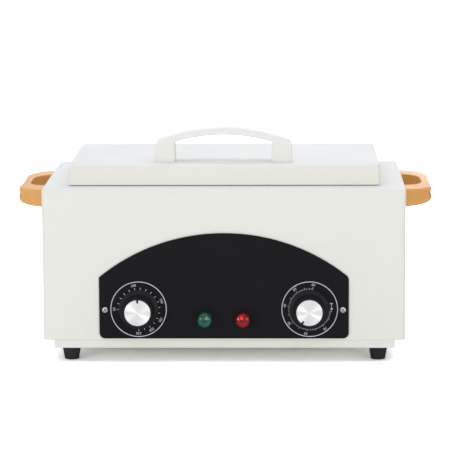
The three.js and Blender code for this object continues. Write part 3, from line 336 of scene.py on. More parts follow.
# %% Fleck group
fleck_group, given, made = new_group(
    "flecks",
    [("Flecks Per Metre", "Float", 500.0), ("Size", "Float", 0.18)],
    [("Mask", "Float")],
)
cells = add_node(
    fleck_group, "TexVoronoi", Vector=object_place(fleck_group), Scale=given["Flecks Per Metre"],
)
near = combine(fleck_group, "DIVIDE", cells.outputs["Distance"], given["Size"])
solid = combine(fleck_group, "SUBTRACT", 1.0, near)
link(fleck_group, combine(fleck_group, "MAXIMUM", solid, 0.0), made["Mask"])

# %% [markdown]
# Lighter outer edges and darker inner corners are found from the pointiness of the mesh: the lighter edges
# are partly wear and partly a painted highlight, and the darker corners are painted shade. Pointiness
# needs close vertices, so it is used on the small turned and moulded pieces, whose edges have many.

# %% Edge group
# The first output lightens outer edges, as wear and a painted highlight; the second darkens inner corners,
# as painted shade.
edge_group, given, made = new_group(
    "edges",
    [("Spread", "Float", 0.06)],
    [("Wear_And_Highlight", "Float"), ("Painted_Shade", "Float")],
)
geometry = edge_group.nodes.new("ShaderNodeNewGeometry")
sharpness = combine(edge_group, "SUBTRACT", geometry.outputs["Pointiness"], 0.5)
for label, sign in (("Wear_And_Highlight", 1.0), ("Painted_Shade", -1.0)):
    way = combine(edge_group, "MULTIPLY", sharpness, sign)
    part = combine(edge_group, "DIVIDE", way, given["Spread"])
    bounded = combine(edge_group, "MINIMUM", combine(edge_group, "MAXIMUM", part, 0.0), 1.0)
    link(edge_group, bounded, made[label])
print(len(bpy.data.node_groups), "node groups")

# %% [markdown]
# Most real surfaces can be shown by one Principled shader, whose sockets are fed by the groups above. The
# tools here do one part of that each: plain numbers, uneven gloss or fine relief.

# %% Material tools
finishes = {}


def linear(colour):
    """A colour as a screen shows it, from 0 to 255, turned into the light that a shader wants."""
    parts = [part / 255 for part in colour]
    return (*(p / 12.92 if p <= 0.04045 else ((p + 0.055) / 1.055) ** 2.4 for p in parts), 1)


def place_group(tree, group, **values):
    """Puts a shared group into a material with that material's own values."""
    holder = tree.nodes.new("ShaderNodeGroup")
    holder.node_tree = group
    for name, value in values.items():
        feed(tree, holder.inputs[name.replace("_", " ")], value)
    return holder


def new_finish(name, **plain):
    """A material, its tree and its shader's sockets. Plain values are the same all over the surface."""
    material = bpy.data.materials.new(name)
    material.use_nodes = True
    inputs = material.node_tree.nodes["Principled BSDF"].inputs
    for label, value in plain.items():
        inputs[label.replace("_", " ")].default_value = value
    finishes[name] = material
    return material, material.node_tree, inputs


def roughen(tree, inputs, shiny, dull, patches=25.0):
    """Makes the gloss uneven."""
    rubbing = place_group(tree, rubbing_group, Shiny=shiny, Dull=dull, Patches_Per_Metre=patches)
    link(tree, rubbing.outputs["Roughness"], inputs["Roughness"])


def relieve(tree, inputs, height, depth, strength=1.0):
    """Gives the surface a fine relief."""
    bump = add_node(tree, "Bump", Height=height, Distance=depth, Strength=strength)
    link(tree, bump.outputs["Normal"], inputs["Normal"])


# %% [markdown]
# A finish is then one short call. It makes a material with a Principled shader, and the groups above feed
# its colour, its roughness and its relief. Numbers that are the same all over the surface are set on the
# shader's own sockets. Each finish is kept under its name, so that a slot of the record can find it later.

# %% Finish maker
def finish(name, colour, other, clouds, shiny, dull, grains, depth, stretch=(1, 1, 1), **plain):
    """A material with an uneven colour, an uneven gloss and a fine relief, whose depth is in metres."""
    material, tree, inputs = new_finish(name, **plain)
    colours = {"Colour": linear(colour), "Other_Colour": linear(other)}
    tone = place_group(tree, tone_group, Clouds_Per_Metre=clouds, **colours)
    link(tree, tone.outputs["Colour"], inputs["Base Color"])
    roughen(tree, inputs, shiny, dull)
    grain = place_group(tree, grain_group, Grains_Per_Metre=grains, Stretch=stretch)
    relieve(tree, inputs, grain.outputs["Height"], depth)
    return material


def tint(material, mask, colour):
    """Lays a second colour over a material's own colour where a mask says so."""
    tree = material.node_tree
    socket = tree.nodes["Principled BSDF"].inputs["Base Color"]
    link(tree, blend_colours(tree, mask, socket.links[0].from_socket, linear(colour)), socket)


def strew(material, per_metre, size, colour):
    """Strews flecks of a second colour over a material."""
    flecks = place_group(material.node_tree, fleck_group, Flecks_Per_Metre=per_metre, Size=size)
    tint(material, flecks.outputs["Mask"], colour)


# %% [markdown]
# The case, the lid and the base plate are sprayed with off-white powder and baked. Powder flows into a
# very faint orange peel, with the odd pale and grey fleck in it.

# %% Painted finishes
white_paint = finish(
    "white_paint", (230, 229, 219), (227, 227, 216), 9.0, 0.52, 0.64, 420.0, 0.00006,
    Specular_IOR_Level=0.35,
)
strew(white_paint, 260.0, 0.10, (206, 206, 200))
panel_black = finish(
    "panel_black", (16, 16, 19), (19, 19, 22), 14.0, 0.42, 0.56, 2600.0, 0.00003,
    Specular_IOR_Level=0.09,
)
print_white = finish(
    "print_white", (208, 210, 215), (192, 194, 199), 260.0, 0.5, 0.6, 3500.0, 0.00002,
)
print("paints ready")

# %% [markdown]
# The handle on the lid and the side handles are moulded. The amber ones are a hard glossy resin with faint
# clouds in it. A little light spreads inside both, so their edges look soft.

# %% Moulded finishes
def wear_highlight_and_shade(material, wear_and_highlight, painted_shade, spread):
    """Lightens a material's outer edges, as wear and a painted highlight, and darkens its inner corners as
    painted shade.
    """
    edges = place_group(material.node_tree, edge_group, Spread=spread)
    # Lighter outer edges are wear and a painted highlight; darker inner corners are painted shade.
    tint(material, edges.outputs["Wear_And_Highlight"], wear_and_highlight)
    tint(material, edges.outputs["Painted_Shade"], painted_shade)


white_plastic = finish(
    "white_plastic", (233, 233, 226), (230, 230, 222), 20.0, 0.36, 0.48, 1500.0, 0.00002,
    Subsurface_Weight=0.05, Subsurface_Scale=0.002, Specular_IOR_Level=0.3,
)
amber_plastic = finish(
    "amber_plastic", (228, 173, 104), (216, 154, 80), 22.0, 0.30, 0.44, 900.0, 0.00003,
    Subsurface_Weight=0.12, Subsurface_Scale=0.003, Specular_IOR_Level=0.18,
)
# Amber: lighter outer edges, as wear and a painted highlight, and painted shade in the inner corners.
wear_highlight_and_shade(amber_plastic, (240, 190, 128), (150, 84, 36), 0.12)
black_plastic = finish(
    "black_plastic", (24, 24, 25), (29, 29, 30), 40.0, 0.28, 0.40, 2400.0, 0.00003,
    Specular_IOR_Level=0.13,
)
# Black: lighter outer edges, as wear and a painted highlight, and painted shade in the inner corners.
wear_highlight_and_shade(black_plastic, (38, 38, 40), (14, 14, 15), 0.10)
rubber = finish(
    "rubber", (38, 38, 40), (46, 46, 47), 60.0, 0.66, 0.85, 1900.0, 0.00006, Specular_IOR_Level=0.25,
)
print("mouldings ready")

# %% [markdown]
# The metals differ in how they were worked. Stainless sheet is brushed along its length, zinc plating is
# flecked, turned brass has fine rings and drawn copper is smooth with warm stains. Stretching the grain
# group along one axis gives each its direction.

# %% Metal finishes
ALONG_X = (0.03, 1, 1)
stainless = finish(
    "stainless", (205, 206, 208), (188, 190, 193), 15.0, 0.24, 0.38, 2200.0, 0.00003, ALONG_X,
    Metallic=1.0,
)
zinc_steel = finish(
    "zinc_steel", (190, 191, 188), (168, 172, 176), 130.0, 0.34, 0.52, 1500.0, 0.00002, Metallic=1.0,
)
strew(zinc_steel, 700.0, 0.35, (206, 203, 190))
finish(
    "brass", (206, 176, 110), (184, 150, 86), 120.0, 0.26, 0.42, 2600.0, 0.00002, (1, 0.05, 1),
    Metallic=1.0,
)
finish(
    "copper", (196, 128, 96), (160, 96, 70), 90.0, 0.28, 0.46, 1200.0, 0.00002, Metallic=1.0,
)
print("metals ready")

# %% [markdown]
# Inside the walls are the quiet materials: mineral wool, a mica heater, steatite and glass fibre sleeves.
# They are only seen through the vents and with the lid up, but each still has its own texture.

# %% Inner finishes
finish(
    "wool", (222, 214, 194), (190, 178, 150), 160.0, 0.9, 1.0, 900.0, 0.0006, (0.3, 0.3, 1.6),
)
heater_mica = finish(
    "heater_mica", (148, 132, 106), (112, 98, 78), 70.0, 0.45, 0.8, 800.0, 0.00008,
)
strew(heater_mica, 420.0, 0.4, (196, 182, 150))
finish(
    "ceramic", (228, 224, 212), (214, 208, 192), 60.0, 0.42, 0.6, 1400.0, 0.00004,
)
finish(
    "glass_sleeve", (222, 218, 206), (196, 190, 174), 300.0, 0.6, 0.8, 1600.0, 0.0002,
    (1.4, 1.4, 0.6),
)
print("inner finishes ready")

# %% [markdown]
# The spun caps get their look from the tool marks: fine rings that spread every reflection outwards, so a
# disc shows bright wedges. An anisotropic shader with a round tangent does that in any light. The rings
# themselves are added as relief, for a close look. Faint wedges are also painted into the colour, a
# painted reflection that turns with the cap.

# %% Spun group and finish
PAINTED_WEDGE_DETAIL, PAINTED_WEDGE_SCALE, PAINTED_WEDGE_TWIST = 3.0, 2.2, 90.0
spun_group, given, made = new_group(
    "spun_rings",
    [
        ("Centre", "Vector", (0, 0, 0)),
        ("Rings Per Metre", "Float", 3500.0),
    ],
    [("Height", "Float"), ("Painted_Wedges", "Float")],
)
offset = add_node(spun_group, "VectorMath", "SUBTRACT", Vector=object_place(spun_group))
link(spun_group, given["Centre"], offset.inputs[1])
split = add_node(spun_group, "SeparateXYZ", Vector=offset.outputs["Vector"])
squares = [combine(spun_group, "MULTIPLY", split.outputs[a], split.outputs[a]) for a in "XZ"]
radius = combine(spun_group, "SQRT", combine(spun_group, "ADD", *squares))
angle = combine(spun_group, "ARCTAN2", split.outputs["Z"], split.outputs["X"])
ring_place = add_node(spun_group, "CombineXYZ", X=radius)
rings = noise(spun_group, ring_place.outputs["Vector"], given["Rings Per Metre"], 4.0)
link(spun_group, rings, made["Height"])
# The second output is a painted reflection: lighter and darker wedges round the centre.
twist = combine(spun_group, "MULTIPLY", radius, PAINTED_WEDGE_TWIST)
painted_wedge_place = add_node(spun_group, "CombineXYZ", X=angle, Y=twist).outputs["Vector"]
link(spun_group, noise(spun_group, painted_wedge_place, PAINTED_WEDGE_SCALE, PAINTED_WEDGE_DETAIL), made["Painted_Wedges"])


def spun_finish(name, centre):
    """Spun aluminium round a centre: ring relief, faint painted reflection wedges in the colour and a
    round anisotropic sheen.
    """
    material, tree, inputs = new_finish(name, Metallic=1.0, Anisotropic=0.9, Anisotropic_Rotation=0.25)
    spun = place_group(tree, spun_group, Centre=centre)
    # The two colours form faint wedges round the centre, a painted reflection.
    colours = linear((216, 215, 211)), linear((232, 231, 227))
    link(tree, blend_colours(tree, spun.outputs["Painted_Wedges"], *colours), inputs["Base Color"])
    roughen(tree, inputs, 0.40, 0.46, 180.0)
    relieve(tree, inputs, spun.outputs["Height"], 0.00002, 0.5)
    around = tree.nodes.new("ShaderNodeTangent")
    around.direction_type = "RADIAL"
    around.axis = "Y"
    link(tree, around.outputs["Tangent"], inputs["Tangent"])
    return material


print("spun finish ready")

# %% [markdown]
# The lamps are clear coloured mouldings. A bright paint would look right only from the front, but real
# light passes through them, so they are glass with a deep colour.

# %% Lens finishes
lens_colours = {"green": ((32, 196, 166), (20, 176, 148)), "red": ((240, 22, 6), (230, 14, 4))}
for colour_name, colours in lens_colours.items():
    finish(
        colour_name + "_lens", *colours, 200.0, 0.03, 0.08, 500.0, 0.00001,
        Transmission_Weight=0.93, IOR=1.38, Specular_IOR_Level=0.0,
    )
print(len(bpy.data.materials), "materials")

# %% [markdown]
# Now the shapes. Almost every piece here is a stack of closed rings with a skin over it: a rounded box, a
# turned knob, a hollow shell. So one small set of tools draws a profile with round corners, carries it
# round a circle or round a rectangle, and skins the rings. Modelling each piece by hand would give the
# same meshes, but not the same radius twice.

# %% Profile tools
TINY = 0.01 * mm
SOFT_EDGE = 0.3 * mm


def rounded(points, steps=5):
    """Rounds the corners of a closed path. Each point is (x, y) or (x, y, radius of its corner)."""
    path = []
    count = len(points)
    for i, point in enumerate(points):
        corner = Vector(point[:2])
        radius = point[2] if len(point) == 3 else 0
        if not radius:
            path.append(corner)
            continue
        before = (Vector(points[i - 1][:2]) - corner).normalized()
        after = (Vector(points[(i + 1) % count][:2]) - corner).normalized()
        half = before.angle(after) / 2
        centre = corner + (before + after).normalized() * radius / sin(half)
        start = corner + before * radius / tan(half) - centre
        end = corner + after * radius / tan(half) - centre
        first = atan2(start.y, start.x)
        sweep = (atan2(end.y, end.x) - first + pi) % (2 * pi) - pi
        for step in range(steps + 1):
            angle = first + sweep * step / steps
            path.append(centre + radius * Vector((cos(angle), sin(angle))))
    return path


def rectangle(width, depth, radius, steps=8):
    """A rectangle round zero with round corners, counter-clockwise."""
    x, y = width / 2, depth / 2
    return rounded([(x, y, radius), (-x, y, radius), (-x, -y, radius), (x, -y, radius)], steps)


def skin(rings, joined=False, mesh=None):
    """Skins a stack of rings. The two ends are capped, or joined to each other."""
    mesh = mesh or bmesh.new()
    rows = [[mesh.verts.new(point) for point in ring] for ring in rings]
    pairs = list(zip(rows, rows[1:]))
    if joined:
        pairs.append((rows[-1], rows[0]))
    else:
        mesh.faces.new(reversed(rows[0]))
        mesh.faces.new(rows[-1])
    for low, high in pairs:
        for i, corner in enumerate(low):
            following = (i + 1) % len(low)
            mesh.faces.new((corner, low[following], high[following], high[i]))
    return mesh


def circle(steps, radius=1.0):
    """A circle round zero, counter-clockwise."""
    turns = [2 * pi * i / steps for i in range(steps)]
    return [(radius * cos(turn), radius * sin(turn)) for turn in turns]


def turned(profile, steps=96, joined=False, mesh=None, place=Matrix()):
    """Turns a path of (radius, height) points round the z axis. A radius of zero becomes a tiny one."""
    unit = circle(steps)
    profile = [(max(radius, TINY), height) for radius, height in profile]
    rings = [[place @ Vector((r * x, r * y, h)) for x, y in unit] for r, h in profile]
    return skin(rings, joined, mesh)


def rounds(width, depth, radius, profile, centre=(0, 0), smallest=0.05 * mm):
    """Rings that follow a rounded rectangle. The path has (inset, height) points."""
    rings = []
    for inset, height in profile:
        ring = rectangle(width - 2 * inset, depth - 2 * inset, max(radius - inset, smallest))
        rings.append([(centre[0] + p.x, centre[1] + p.y, height) for p in ring])
    return rings


# %% [markdown]
# Three more tools finish a piece. One makes it an object with crisp and smooth edges in the right places,
# one cuts holes into it, and one seats it in the frame: which body carries it, and which plain node it
# stands for.

# %% Piece tools
SMOOTH_LIMIT = radians(38)
FORWARD = Matrix.Rotation(radians(90), 4, "X")
made_pieces = []


def moved(mesh, x=0, y=0, z=0, turn=None):
    """Turns and then moves a bmesh."""
    if turn is not None:
        bmesh.ops.transform(mesh, matrix=turn, verts=mesh.verts)
    bmesh.ops.translate(mesh, vec=(x, y, z), verts=mesh.verts)
    return mesh


def shaded(mesh):
    """Smooths a mesh, apart from the edges that turn by more than the limit."""
    mesh.shade_smooth()
    mesh.set_sharp_from_angle(angle=SMOOTH_LIMIT)


def piece(name, mesh, material):
    """Makes a named object of a bmesh."""
    bmesh.ops.recalc_face_normals(mesh, faces=mesh.faces)
    data = bpy.data.meshes.new(name)
    mesh.to_mesh(data)
    mesh.free()
    data.materials.append(material)
    shaded(data)
    made = bpy.data.objects.new(name, data)
    scene.collection.objects.link(made)
    return made


def settled(made):
    """Turns an object's modifiers into plain mesh."""
    graph = bpy.context.evaluated_depsgraph_get()
    data = bpy.data.meshes.new_from_object(made.evaluated_get(graph))
    made.modifiers.clear()
    old = made.data
    made.data = data
    data.name = made.name
    bpy.data.meshes.remove(old)
    shaded(data)
    return made


def cut(made, tools):
    """Cuts a bmesh of closed tools out of a piece."""
    cutter = piece("cutter", tools, made.data.materials[0])
    modifier = made.modifiers.new("cut", "BOOLEAN")
    modifier.operation = "DIFFERENCE"
    modifier.solver = "EXACT"
    modifier.object = cutter
    settled(made)
    bpy.data.objects.remove(cutter)
    return made


def flat_normals(made):
    """Keeps large flat faces evenly shaded right up to their round edges."""
    modifier = made.modifiers.new("flat_normals", "WEIGHTED_NORMAL")
    modifier.keep_sharp = True
    modifier.weight = 100
    return made


def seat(made, body, slot, *nodes):
    """Lets a piece ride on a body and stand for the frame's nodes."""
    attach(made, body)
    if nodes:
        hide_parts(*nodes)
    made_pieces.append(made.name)
    size = [round(length / mm, 1) for length in made.dimensions]
    print(made.name, size, "mm,", len(made.data.polygons), "faces")


# %% [markdown]
# Slots, bores, sheets and strokes of ink are all one more shape: an outline drawn out along an axis. And
# four of the pieces are pans, a path carried round the rectangle of a node, so that is a tool too.

# %% Prism tools
BORE_STEPS = 32


def prism(outline, start, end, axis, at=(0, 0), mesh=None):
    """A prism between two places along an axis. Its outline and its place are in the other two axes."""
    along = "xyz".index(axis)
    rings = []
    for place in (start, end):
        ring = [[at[0] + point[0], at[1] + point[1]] for point in outline]
        rings.append([(*point[:along], place, *point[along:]) for point in ring])
    return skin(rings, mesh=mesh)


def bore(nodes, radius, start, end, axis, mesh):
    """Adds a round bar to a bmesh in the middle of each node, between two places along an axis."""
    for node in nodes:
        at = list(box_of(node)[2])
        at.pop("xyz".index(axis))
        prism(circle(BORE_STEPS, radius), start, end, axis, at, mesh)
    return mesh


def pan(node, path, corner, material, depth=None):
    """A hollow pan in the place of a node: a path that is carried round a rectangle."""
    low, high, middle = box_of(node)
    rings = rounds(high.x - low.x, depth or high.y - low.y, corner, path, middle.xy)
    return piece(node + "_fine", skin(rings), material)


# %% [markdown]
# The case is one wrap of painted sheet, a millimetre thick. Seen from outside it is a box with round
# corners, but it is hollow, has a mouth for the tank in its top and a narrow return along its foot. One
# closed path of rings goes up the outside, in over the top, down the mouth and back inside the wall.

# %% Case shell
SHEET = 1.0 * mm
CASE_CORNER = 3.6 * mm
CASE_EDGE = 1.2 * mm
FOLD = 0.35 * mm
SIDE_RETURN = 34.0 * mm
END_RETURN = 12.0 * mm
MOUTH_CORNER = 14.85 * mm
RIM_COVER = 8.75 * mm

low, high, middle = box_of("case_shell")
width, depth = high.x - low.x, high.y - low.y
case_front = low.y
outside = rounded([
    (FOLD, low.z), (0, low.z, FOLD * 0.9), (0, high.z, CASE_EDGE), (2 * CASE_EDGE, high.z),
])
rim_low, rim_high, rim_middle = box_of("tank")
mouth_width = rim_high.x - rim_low.x - 2 * RIM_COVER
mouth_depth = rim_high.y - rim_low.y - 2 * RIM_COVER
mouth = [(0, high.z), (0, high.z - SHEET)]
inside = rounded([
    (2 * CASE_EDGE, high.z - SHEET), (SHEET, high.z - SHEET, CASE_EDGE - SHEET),
    (SHEET, low.z + SHEET), (FOLD + SHEET, low.z + SHEET),
])
footwell_size = (width - 2 * SIDE_RETURN, depth - 2 * END_RETURN, FOLD)
footwell = [(0, low.z + SHEET), (0, low.z)]
rings = rounds(width, depth, CASE_CORNER, outside, middle.xy)
rings += rounds(mouth_width, mouth_depth, MOUTH_CORNER, mouth, rim_middle.xy)
rings += rounds(width, depth, CASE_CORNER, inside, middle.xy)
rings += rounds(*footwell_size, footwell, middle.xy)
case_shell = piece("case_shell_fine", skin(rings, joined=True), white_paint)

# %% [markdown]
# The holes come after the shell. Ten stamped slots let warm air out at the back, and round holes take the
# dials, the lamps and the screws. Each tool runs a little past the sheet on both sides, because a tool
# that ends level with a face can leave a skin over its hole.

# %% Case holes
OVERRUN = 3.0 * mm
VENT_LENGTH, VENT_HEIGHT, VENT_PITCH = 34.0 * mm, 3.2 * mm, 9.0 * mm
VENT_ROWS, VENT_SPREAD, VENT_LOW, VENT_END_SHARE = 5, 52.0 * mm, 65.0 * mm, 0.499
HOLE_ROOM = 0.25 * mm
BUSH_HOLE, LAMP_HOLE, PANEL_SCREW_HOLE = 5.0 * mm, 4.4 * mm, 1.5 * mm
INLET_HOLE = (27.5 * mm, 20.1 * mm, 2.0 * mm)
round_holes = {
    "thermostat_body": BUSH_HOLE, "timer_body": BUSH_HOLE, "indicator_lamp_green": LAMP_HOLE,
    "indicator_lamp_red": LAMP_HOLE, "panel_screw_left": PANEL_SCREW_HOLE,
    "panel_screw_right": PANEL_SCREW_HOLE,
}
holes = bmesh.new()
back_wall = (high.y - OVERRUN, high.y + OVERRUN)
slot = rectangle(VENT_LENGTH, VENT_HEIGHT, VENT_HEIGHT * VENT_END_SHARE)
for side in (-1, 1):
    for row in range(VENT_ROWS):
        prism(slot, *back_wall, "y", (side * VENT_SPREAD, VENT_LOW + row * VENT_PITCH), holes)
for node, radius in round_holes.items():
    bore([node], radius + HOLE_ROOM, low.y - OVERRUN, low.y + OVERRUN, "y", holes)
prism(rectangle(*INLET_HOLE), *back_wall, "y", box_of("power_inlet")[2].xz, holes)
seat(flat_normals(cut(case_shell, holes)), "case", "white_paint", "case_shell")

# %% [markdown]
# The base plate closes the case from below. It is a shallow tray, upside down, and its folded edge is the
# narrow step that shows between the case and the feet.

# %% Base plate
SKIRT_CORNER, SKIRT_EDGE = 1.2 * mm, 0.2 * mm
SKIRT_SETBACK, SKIRT_OVERLAP = 0.1 * mm, 0.2 * mm
BASE_ROWS, BASE_SPREAD = 7, 60.0 * mm
SCREW_BORE = 2.25 * mm
low, high, middle = box_of("base_plate")
depth = 2 * (middle.y - case_front - SKIRT_SETBACK)
top = high.z + SKIRT_OVERLAP
path = rounded([
    (2 * SHEET, top), (0, top, SKIRT_EDGE), (0, low.z, SOFT_EDGE), (SHEET, low.z, SOFT_EDGE),
    (SHEET, top - SHEET, SOFT_EDGE), (2 * SHEET, top - SHEET),
])
base_plate = pan("base_plate", path, SKIRT_CORNER, white_paint, depth)
holes = bmesh.new()
sheet_band = (high.z - OVERRUN, high.z + OVERRUN)
for side in (-1, 1):
    for row in range(BASE_ROWS):
        y = middle.y + (row - (BASE_ROWS - 1) / 2) * VENT_PITCH
        prism(slot, *sheet_band, "z", (side * BASE_SPREAD, y), holes)
foot_names = [f"{end}_{side}" for end in ("front", "rear") for side in ("left", "right")]
bore(["foot_" + name for name in foot_names], SCREW_BORE, *sheet_band, "z", holes)
seat(flat_normals(cut(base_plate, holes)), "case", "white_paint", "base_plate")

# %% [markdown]
# The lid is a painted pan, upside down, with a small radius along its top edges. Its rim is open below,
# where the stainless liner closes it.

# %% Lid shell
LID_CORNER, LID_EDGE = 2.6 * mm, 1.3 * mm
LID_DROP, LID_RISE = 0.5 * mm, 0.7 * mm
low, high, middle = box_of("lid_shell")
rim, top = low.z - LID_DROP, high.z + LID_RISE
path = rounded([
    (2 * LID_EDGE, top), (0, top, LID_EDGE), (0, rim, SOFT_EDGE), (SHEET, rim, SOFT_EDGE),
    (SHEET, top - SHEET, LID_EDGE - SHEET), (2 * LID_EDGE, top - SHEET),
])
lid_shell = pan("lid_shell", path, LID_CORNER, white_paint)
handle_screws = ["lid_handle_screw_" + side for side in ("left", "right")]
holes = bore(handle_screws, SCREW_BORE, high.z - OVERRUN, high.z + OVERRUN, "z", bmesh.new())
seat(flat_normals(cut(lid_shell, holes)), "lid", "white_paint", "lid_shell")

# %% [markdown]
# The lid handle, the panel and the hinge leaves are plates with soft rims. A bevel would break up on their
# fine curves, so each ring is the outline drawn in a little, further and further along y.

# %% Outline tools
LEAST_STRETCH = 0.35


def inset_outline(points, distance):
    """Draws a closed counter-clockwise outline in by a distance."""
    drawn = []
    count = len(points)
    for i in range(count):
        before = (points[i] - points[i - 1]).normalized()
        after = (points[(i + 1) % count] - points[i]).normalized()
        inward = Vector((-before.y - after.y, before.x + after.x)).normalized()
        stretch = max(LEAST_STRETCH, inward.dot(Vector((-after.y, after.x))))
        drawn.append(points[i] + inward * distance / stretch)
    return drawn


def soft_plate(outline, front, back, edge, x=0, z=0, steps=5, mesh=None):
    """A plate that faces the front, with round rims. The outline is in x and z."""
    quarter = [pi / 2 * step / steps for step in range(steps + 1)]
    rims = [(front + edge * (1 - cos(turn)), edge * (1 - sin(turn))) for turn in quarter]
    rims += [(back - edge * (1 - cos(turn)), edge * (1 - sin(turn))) for turn in reversed(quarter)]
    rings = [[(x + p.x, y, z + p.y) for p in inset_outline(outline, inset)] for y, inset in rims]
    return skin(rings, mesh=mesh)


def arc_radius(half_chord, rise):
    """The radius of an arc from half its chord and its rise."""
    return (half_chord**2 + rise**2) / (2 * rise)


def arc(centre_y, radius, start, end, steps):
    """Points of an arc round (0, centre_y)."""
    angles = [start + (end - start) * step / steps for step in range(steps + 1)]
    return [Vector((radius * cos(a), centre_y + radius * sin(a))) for a in angles]


# %% [markdown]
# The lid handle is a white bow on two feet. Its side view is two arcs, so it is drawn as an outline in x
# and z. It starts a little below the lid's top and is cut off there, so its feet have no rim underneath.

# %% Lid handle
BOW_FOOT = 17.0 * mm
BOW_WIDER, BOW_SHIFT = 0.9 * mm, -0.7 * mm
BOW_SHOULDER, BOW_CROWN = 19.0 * mm, 29.9 * mm
BOW_BRIDGE, BOW_SHOULDER_DROP = 6.2 * mm, 1.5 * mm
BOW_ROUND = 4.0 * mm
BOW_EDGE = 1.3 * mm
BOW_STEPS = 40
low, high, middle = box_of("lid_handle")
half = (high.x - low.x) / 2 + BOW_WIDER
inner_half = half - BOW_FOOT
inner_crown = BOW_CROWN - BOW_BRIDGE
inner_shoulder = BOW_SHOULDER - BOW_SHOULDER_DROP
outer = arc_radius(half, BOW_CROWN - BOW_SHOULDER)
inner = arc_radius(inner_half, inner_crown - inner_shoulder)
outer_tilt = asin((half - BOW_ROUND) / outer)
inner_tilt = asin(inner_half / inner)
shoulder = Vector((half, BOW_SHOULDER - BOW_ROUND))
outer_arc = arc(BOW_CROWN - outer, outer, pi / 2 - outer_tilt, pi / 2 + outer_tilt, BOW_STEPS)
inner_arc = arc(inner_crown - inner, inner, pi / 2 + inner_tilt, pi / 2 - inner_tilt, BOW_STEPS)


def shoulder_curve(start, corner, end, steps=8):
    """A quadratic curve round a corner, without its two ends."""
    shares = [step / steps for step in range(1, steps)]
    return [start * (1 - s) ** 2 + corner * 2 * s * (1 - s) + end * s**2 for s in shares]


right_corner = Vector((half, BOW_SHOULDER))
right_turn = shoulder_curve(shoulder, right_corner, outer_arc[0])
left_turn = [Vector((-p.x, p.y)) for p in reversed(right_turn)]
outline = [Vector((inner_half, -BOW_EDGE)), Vector((half, -BOW_EDGE)), shoulder]
outline += right_turn + outer_arc + left_turn
outline += [Vector((-half, shoulder.y)), Vector((-half, -BOW_EDGE)), Vector((-inner_half, -BOW_EDGE))]
outline += inner_arc
mesh = soft_plate(outline, low.y, high.y, BOW_EDGE, middle.x + BOW_SHIFT, low.z)
bmesh.ops.bisect_plane(
    mesh, geom=mesh.verts[:] + mesh.edges[:] + mesh.faces[:],
    plane_co=(0, 0, low.z), plane_no=(0, 0, -1), clear_outer=True,
)
bmesh.ops.holes_fill(mesh, edges=[edge for edge in mesh.edges if edge.is_boundary])
lid_handle = flat_normals(piece("lid_handle_fine", mesh, white_plastic))
seat(lid_handle, "lid", "white_plastic", "lid_handle")

# %% [markdown]
# Each side handle is a moulded loop. Its plan has straight runs with elliptical ends, outside and at the
# finger hole, and the bar between the two is thick at the wall and thin in the middle. So a section is
# carried from the front foot to the rear one, and at each place it is as wide as the bar is there. The
# section gets thinner away from the wall, and its edges get rounder towards the grip. Two deep grooves
# along the grip start near the end of each bend, so from the front only their dark ends show.

# %% Side handle tools
LOOP_LENGTH, LOOP_REACH, LOOP_END = 116.0 * mm, 24.6 * mm, 26.0 * mm
FINGER_LENGTH, FINGER_REACH, FINGER_END = 66.0 * mm, 16.8 * mm, 24.0 * mm
# in each pair: at the wall, at the grip
LOOP_TOP_EDGES, LOOP_UNDER_EDGES, FINGER_EDGE = (1.0 * mm, 4.4 * mm), (1.6 * mm, 4.8 * mm), 1.2 * mm
LOOP_SEAM, LOOP_DEEPER, LOOP_DROOP, LOOP_THINNING = 0.45 * mm, 0.8 * mm, 0.9 * mm, 0.16
# each groove: its start and its end below the top face, and its depth
grooves = [(4.6 * mm, 9.0 * mm, 2.0 * mm), (9.7 * mm, 10.8 * mm, 1.2 * mm)]
GROOVE_REACH, GROOVE_SLOPE = 21.8 * mm, 0.3 * mm
# where the edges start to grow, as a share of the reach
GROWTH_START = 0.5
SIDES = ((-1, "left"), (1, "right"))


def loop_path(length, reach, end, quarter=28, straight=8):
    """The plan of one side of the bar, from the front foot to the rear one."""
    middle = length / 2 - end
    front = [pi / 2 * step / quarter for step in range(quarter)]
    path = [(reach * sin(a), -middle - end * cos(a)) for a in front]
    path += [(reach, middle * (2 * step / straight - 1)) for step in range(straight + 1)]
    return path + [(x, -y) for x, y in reversed(path[:quarter])]


def loop_section(width, height, reach):
    """The section of the bar, as (way from the finger side, height below the top face) points."""
    share = max(0, reach / LOOP_REACH - GROWTH_START) / (1 - GROWTH_START)
    edges = (LOOP_TOP_EDGES, LOOP_UNDER_EDGES)
    top_edge, under_edge = (near + (far - near) * share for near, far in edges)
    points = [(0, 0, FINGER_EDGE), (width, 0, top_edge)]
    for start, end, depth in grooves:
        bite = depth if reach > GROOVE_REACH else 0
        points += [(width, -start), (width - bite, -start - GROOVE_SLOPE)]
        points += [(width - bite, -end + GROOVE_SLOPE), (width, -end)]
    points += [(width, -height, under_edge), (0, -height, FINGER_EDGE)]
    return rounded(points, 6)


# %% [markdown]
# The two handles are mirror images, so one loop makes both, each from the wall of its own side.

# %% Side handles
for side, side_name in SIDES:
    node = "side_handle_" + side_name
    low, high, middle = box_of(node)
    wall = high.x - LOOP_REACH if side > 0 else low.x + LOOP_REACH
    height = high.z - low.z + LOOP_DEEPER
    outer_path = loop_path(LOOP_LENGTH, LOOP_REACH, LOOP_END)
    inner_path = loop_path(FINGER_LENGTH, FINGER_REACH, FINGER_END)
    rings = []
    for outer_point, inner_point in zip(outer_path, inner_path):
        outward = Vector(outer_point) - Vector(inner_point)
        ring = []
        for way, fall in loop_section(outward.length, height, outer_point[0]):
            place = Vector(inner_point) + outward.normalized() * way
            reach_share = place.x / LOOP_REACH
            z = high.z - LOOP_DROOP * reach_share + fall * (1 - LOOP_THINNING * reach_share)
            ring.append((wall + side * max(place.x, LOOP_SEAM), middle.y + place.y, z))
        rings.append(ring)
    handle = flat_normals(piece(node + "_fine", skin(rings), amber_plastic))
    seat(handle, "case", "amber_plastic", node)

# %% [markdown]
# Rubber feet are turned forms too: a slight taper, a soft lower edge and a recess for the screw.

